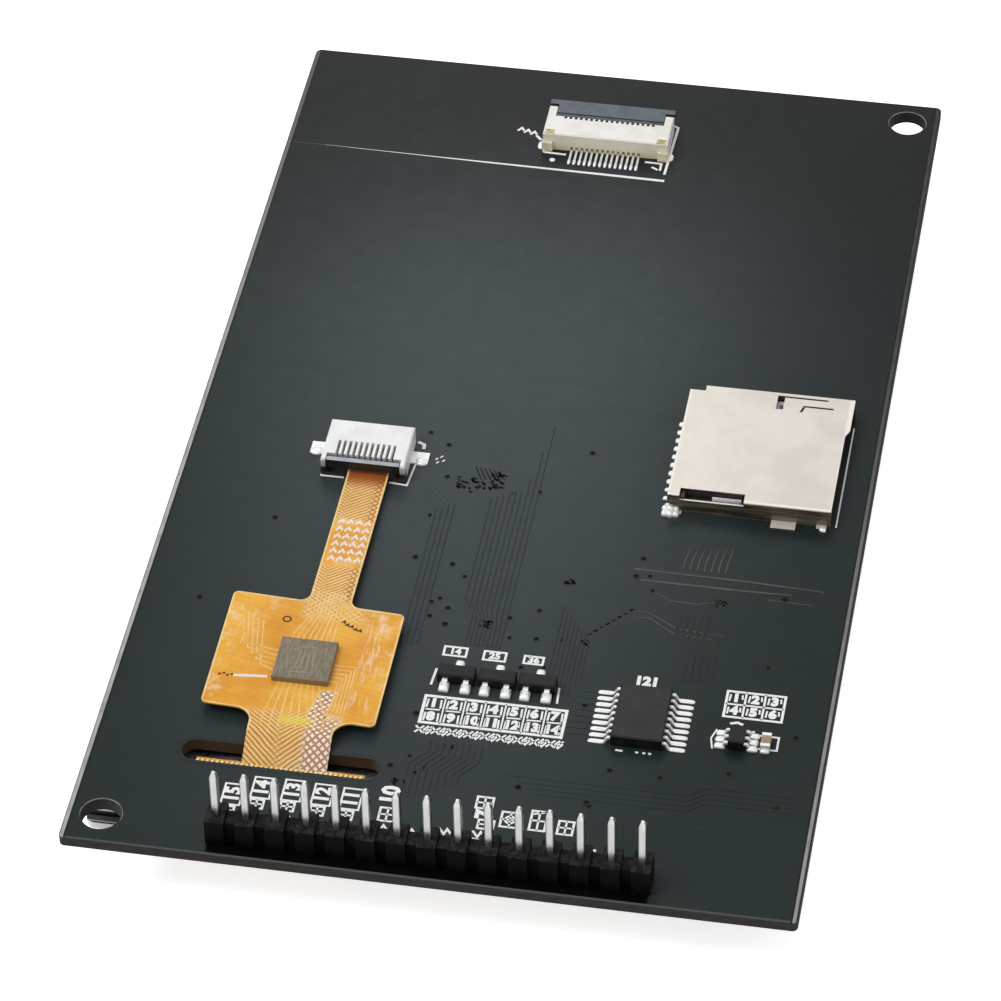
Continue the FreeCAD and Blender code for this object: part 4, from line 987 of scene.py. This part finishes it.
def hole_rims():
    """Painted highlight on the far rims of the two screw holes."""
    b = Build(high=board_top + 0.012)
    steps = 22
    radius = 1.8
    turns = [math.radians(-20 + 10 * i) for i in range(steps + 1)]
    widths = [0.03 + 0.11 * math.sin(math.pi * i / steps) for i in range(steps + 1)]
    for x, y in ((-screw_x, -screw_y), (screw_x, screw_y)):
        b.stroke([(x + radius * math.cos(t), y + radius * math.sin(t)) for t in turns], widths)
    b.piece("screw_hole_rim_highlights", hole_rim_highlight)


def surface_of(node):
    """A finder of the height of a node's upper surface, in millimetres."""
    mesh = nodes[node].data
    tree = BVHTree.FromPolygons([v.co for v in mesh.vertices], [tuple(p.vertices) for p in mesh.polygons])

    def height(x, y):
        hit = tree.ray_cast(Vector((x * MM, y * MM, 0.05)), Vector((0, 0, -1)))[0]
        return None if hit is None else hit.z / MM
    return height


def rim_edges(node, floor):
    """Edges between a node's upper face and its sides, above a height, with the way in from each."""
    mesh = nodes[node].data
    weld = {}
    for polygon in mesh.polygons:
        for key in polygon.edge_keys:
            ends = sorted(tuple(round(c, 7) for c in mesh.vertices[i].co) for i in key)
            weld.setdefault(tuple(ends), []).append(polygon)
    edges = []
    for (a, b), polygons in weld.items():
        ups = [p for p in polygons if p.normal.z > 0.5]
        sides = [p for p in polygons if abs(p.normal.z) < 0.3]
        if ups and sides and min(a[2], b[2]) > floor * MM:
            edges.append((Vector(a) / MM, Vector(b) / MM, -sides[0].normal))
    return edges


def flex_rim():
    """Pale clear edge of the film, where the copper stops short of the cut."""
    b = Build()
    rim_width, lift, thick = 0.16, 0.006, 0.016
    for start, end, inward in rim_edges("touch_flex", board_top + 0.3):
        inward = Vector((inward.x, inward.y, 0)).normalized() * rim_width
        rise = Vector((0, 0, lift))
        quad = [start + rise, end + rise, end + inward + rise, start + inward + rise]
        if (quad[1] - quad[0]).cross(quad[3] - quad[0]).z < 0:
            quad.reverse()
        low = [p - Vector((0, 0, thick)) for p in quad]
        sides = [(i, i + 4, 4 + (i + 1) % 4, (i + 1) % 4) for i in range(4)]
        b.add(quad + low, [(0, 1, 2, 3), (7, 6, 5, 4), *sides])
    b.piece("flex_rim", pale_film)


def draped(b, route, width, height, rise=0.012, step=0.5):
    """A thin raised line that follows a surface."""
    points = []
    for (x0, y0), (x1, y1) in zip(route, route[1:]):
        count = max(1, int(math.hypot(x1 - x0, y1 - y0) / step))
        points += [(x0 + (x1 - x0) * i / count, y0 + (y1 - y0) * i / count) for i in range(count)]
    points.append(route[-1])
    heights = [height(x, y) for x, y in points]
    if None not in heights:
        b.stroke(points, width, low=[h - 0.01 for h in heights], high=[h + rise for h in heights])


def flex_runs(height):
    """Copper runs from the touch controller to the flex's neck and tail and to its rims."""
    runs = Build()
    half = 2.45
    right, left = chip_x + half, chip_x - half
    for i in range(8):
        t = i - 3.5
        start = chip_x + 0.5 * t
        draped(runs, [(start, chip_y + half), (start, chip_y + 3.4), (-13.8 + 0.34 * t, -25.6),
                      (-13.8 + 0.34 * t, -22.8)], 0.13, height)
        draped(runs, [(start, chip_y - half), (chip_x + 0.55 * t, chip_y - 3.6), (-14.1 + 0.75 * t, -38.0),
                      (-14.1 + 0.75 * t, -40.0)], 0.13, height)
    for i in range(5):
        x, y = -11.2 + 0.3 * i, chip_y - 1.8 + 0.5 * i
        draped(runs, [(right, y), (x, y), (x, -36.8 - 0.2 * i), (-11.6 + 0.2 * i, -38.4)], 0.12, height)
        x, y = -18.2 - 0.5 * i, chip_y - 1.2 + 0.6 * i
        draped(runs, [(left, y), (x, y + 0.6), (x - 0.8, -27.2 + 0.3 * i)], 0.12, height)
    runs.piece("flex_copper_runs", copper_film)


def flex_marks(height):
    """Ring and dark marks printed beside the touch controller."""
    top = height(chip_x, -27.0) + 0.012
    marks = Build(top - 0.02, top)
    marks.ring(-17.05, -26.75, 0.33, 0.14)
    for x, y in ((-12.3, -26.45), (-11.95, -26.75), (-11.55, -26.9), (-11.15, -27.2), (-10.75, -27.3)):
        marks.stroke([(x, y), (x + 0.25, y + 0.18), (x + 0.3, y - 0.1)], 0.16)
    for x, y in ((-21.5, -34.25), (-21.15, -34.1), (-20.8, -34.3), (-20.45, -34.15)):
        marks.stroke([(x, y), (x + 0.22, y + 0.08)], 0.2)
    marks.piece("flex_dark_marks", dark_ink)


def flex_print(height):
    """The pale bar beside the touch controller and the rows of pale arrows on the flex's tail."""
    pale = Build()
    rise, step = 0.014, 0.3
    draped(pale, [(-20.2, -34.2), (-17.3, -33.9)], 0.3, height, rise)
    for column in range(4):
        for row in range(6):
            x = -15.15 + column * 0.78
            y = -18.8 + row * 0.98
            draped(pale, [(x, y), (x + 0.3, y + 0.62), (x + 0.56, y + 0.1)], 0.17, height, rise, step)
            draped(pale, [(x - 0.05, y + 0.32), (x + 0.6, y + 0.34)], 0.13, height, rise, step)
    pale.piece("flex_pale_print", pale_ink)


def root_beads(height):
    """Small gilt pads along the root of the touch flex, at the slot."""
    b = Build()
    count = 34
    for i in range(count):
        x = -21.5 + i * 14.0 / (count - 1)
        y = -42.78
        level = height(x, y)
        if level is not None and level <= board_top + 0.2:
            b.lump(x, y - 0.05, 0.17, 0.2, 0.11, low=level - 0.02)
    b.piece("flex_root_pads", gold, smooth=True)


def chip_marks():
    """Faint etched strokes on the touch controller."""
    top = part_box("touch_chip")[1].z / MM
    b = Build(top - 0.005, top + 0.008)
    b.strokes(0.09, [(-15.1, -33.2), (-14.9, -30.8)], [(-14.6, -33.1), (-14.55, -31.0)],
              [(-14.1, -33.0), (-14.1, -30.9)], [(-13.6, -32.8), (-13.7, -31.1)],
              [(-15.4, -33.6), (-13.9, -33.5)], [(-15.0, -30.5), (-13.6, -30.4)])
    b.ring(-16.2, -30.1, 0.2, 0.07)
    b.piece("touch_chip_marks", etched)


def spare_fittings():
    """Small brass fixings at the spare connector's front corners."""
    b = Build(spare_top - 0.02, spare_top + 0.012)
    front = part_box("spare_connector_housing")[0].y / MM
    for side in (-1, 1):
        x = spare_x + side * 5.4
        b.lump(x, front + 0.36, 0.36, 0.2, 0.1, 6.0, spare_top - 0.06)
        b.box(x - 0.4, front + 0.1, x + 0.4, front + 0.6, 0.1)
    b.piece("spare_connector_fittings", brass)


def squeezed_spring():
    """The coil spring behind the card slider, built at the imported spring's length."""
    low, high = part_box("card_spring")
    wire = 0.06
    radius = (high.y - low.y) / MM / 2 - wire
    middle = (low + high) / 2 / MM
    start, end = low.x / MM + wire, high.x / MM - wire
    turns, segments, sides = 8, 20, 6
    rings = []
    for i in range(turns * segments + 1):
        angle = 2 * math.pi * i / segments
        out = Vector((0, math.cos(angle), math.sin(angle)))
        centre = Vector((start + (end - start) * i / (turns * segments), middle.y, middle.z)) + out * radius
        for j in range(sides):
            lean = 2 * math.pi * j / sides
            rings.append(centre + (out * math.cos(lean) + Vector((1, 0, 0)) * math.sin(lean)) * wire)
    faces = []
    for i in range(turns * segments):
        for j in range(sides):
            a, c = i * sides + j, i * sides + (j + 1) % sides
            faces.append((a, c, c + sides, a + sides))
    faces += [tuple(range(sides)), tuple(range(len(rings) - 1, len(rings) - sides - 1, -1))]
    b = Build()
    b.add(rings, faces)
    coil = b.mesh_object("card_spring_coil", spring_wire, smooth=True)
    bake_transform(coil)
    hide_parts("card_spring")


silkscreen()
silkscreen_tables()
silkscreen_right()
header_labels()
traces()
vias()
solder_joints()
corner_solder()
socket_corner()
hole_rims()
flex_rim()
flex_height = surface_of("touch_flex")
flex_runs(flex_height)
flex_marks(flex_height)
flex_print(flex_height)
root_beads(flex_height)
chip_marks()
spare_fittings()
squeezed_spring()


def seen_directly(tree):
    """The light path's outputs and a value that is 1 for what the camera sees, straight or through glass."""
    path = add_node(tree, "LightPath").outputs
    rays = {0: path["Is Camera Ray"], 1: path["Is Transmission Ray"]}
    return path, add_node(tree, "Math", rays, operation="MAXIMUM").outputs[0]


def floor_and_backdrop():
    """A pale floor that shows white to the camera and keeps the object's shadow."""
    size = 6.0
    low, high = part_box("cover_glass")
    inset = 0.0005
    corners = []
    hole = (low.x + inset, low.y + inset, high.x - inset, high.y - inset)
    for x0, y0, x1, y1 in ((-size, -size, size, size), hole):
        corners += [(x0, y0, 0), (x1, y0, 0), (x1, y1, 0), (x0, y1, 0)]
    mesh = bpy.data.meshes.new("floor")
    mesh.from_pydata(corners, [], [(i, (i + 1) % 4, 4 + (i + 1) % 4, 4 + i) for i in range(4)])
    floor = bpy.data.objects.new("floor", mesh)
    bpy.context.scene.collection.objects.link(floor)
    material = bpy.data.materials.new("floor_paper")
    material.use_nodes = True
    tree = material.node_tree
    tree.nodes.clear()
    seen = seen_directly(tree)[1]
    level = add_node(tree, "Math", {0: seen, 1: floor_glow}, operation="MULTIPLY")
    glow = add_node(tree, "Emission", {"Strength": level.outputs[0]})
    paper = add_node(tree, "BsdfDiffuse", {"Color": grey(floor_tone)})
    both = add_node(tree, "AddShader", {0: paper.outputs[0], 1: glow.outputs[0]})
    below = add_node(tree, "NewGeometry").outputs["Backfacing"]
    clear = add_node(tree, "BsdfTransparent")
    pick = add_node(tree, "MixShader", {0: below, 1: both.outputs[0], 2: clear.outputs[0]})
    add_node(tree, "OutputMaterial", {"Surface": pick.outputs[0]})
    mesh.materials.append(material)


def world_light():
    """Soft even light from all round; white to the camera, a little dimmer in reflections."""
    world = bpy.data.worlds.new("studio")
    bpy.context.scene.world = world
    world.use_nodes = True
    tree = world.node_tree
    background = tree.nodes["Background"]
    background.inputs["Color"].default_value = (*grey(1.0), 1.0)
    path, seen = seen_directly(tree)
    levels = {"Value": path["Is Glossy Ray"], "To Min": world_level, "To Max": world_gloss}
    unseen = add_node(tree, "MapRange", levels).outputs["Result"]
    strength = add_node(tree, "Mix", {"Factor": seen, "A": unseen, "B": 1.0})
    tree.links.new(strength.outputs["Result"], background.inputs["Strength"])


def area_light(name, place, target, size, radiance):
    """A square soft box that shines at a target."""
    data = bpy.data.lights.new(name, "AREA")
    data.shape = "SQUARE"
    data.size = size
    data.energy = radiance * math.pi * size * size
    lamp = bpy.data.objects.new(name, data)
    bpy.context.scene.collection.objects.link(lamp)
    lamp.location = place
    lamp.rotation_euler = (Vector(target) - Vector(place)).to_track_quat("-Z", "Y").to_euler()
    lamp.visible_camera = False


def photo_camera():
    """The camera of the main view."""
    data = bpy.data.cameras.new("camera")
    data.lens = camera_lens
    data.sensor_width = camera_sensor
    data.clip_start = 0.01
    data.clip_end = 20.0
    camera = bpy.data.objects.new("camera", data)
    bpy.context.scene.collection.objects.link(camera)
    camera.location = camera_place
    camera.rotation_euler = [math.radians(a) for a in camera_turn_deg]
    bpy.context.scene.camera = camera
    bpy.context.scene.view_settings.view_transform = "Standard"


floor_and_backdrop()
world_light()
area_light("key", (-0.3, -0.1, 0.48), (0, 0, 0), 0.3, 5.0)
area_light("sheen", (-0.045, 0.21, 0.175), (-0.006, 0.012, 0.005), 0.08, 1.2)
photo_camera()
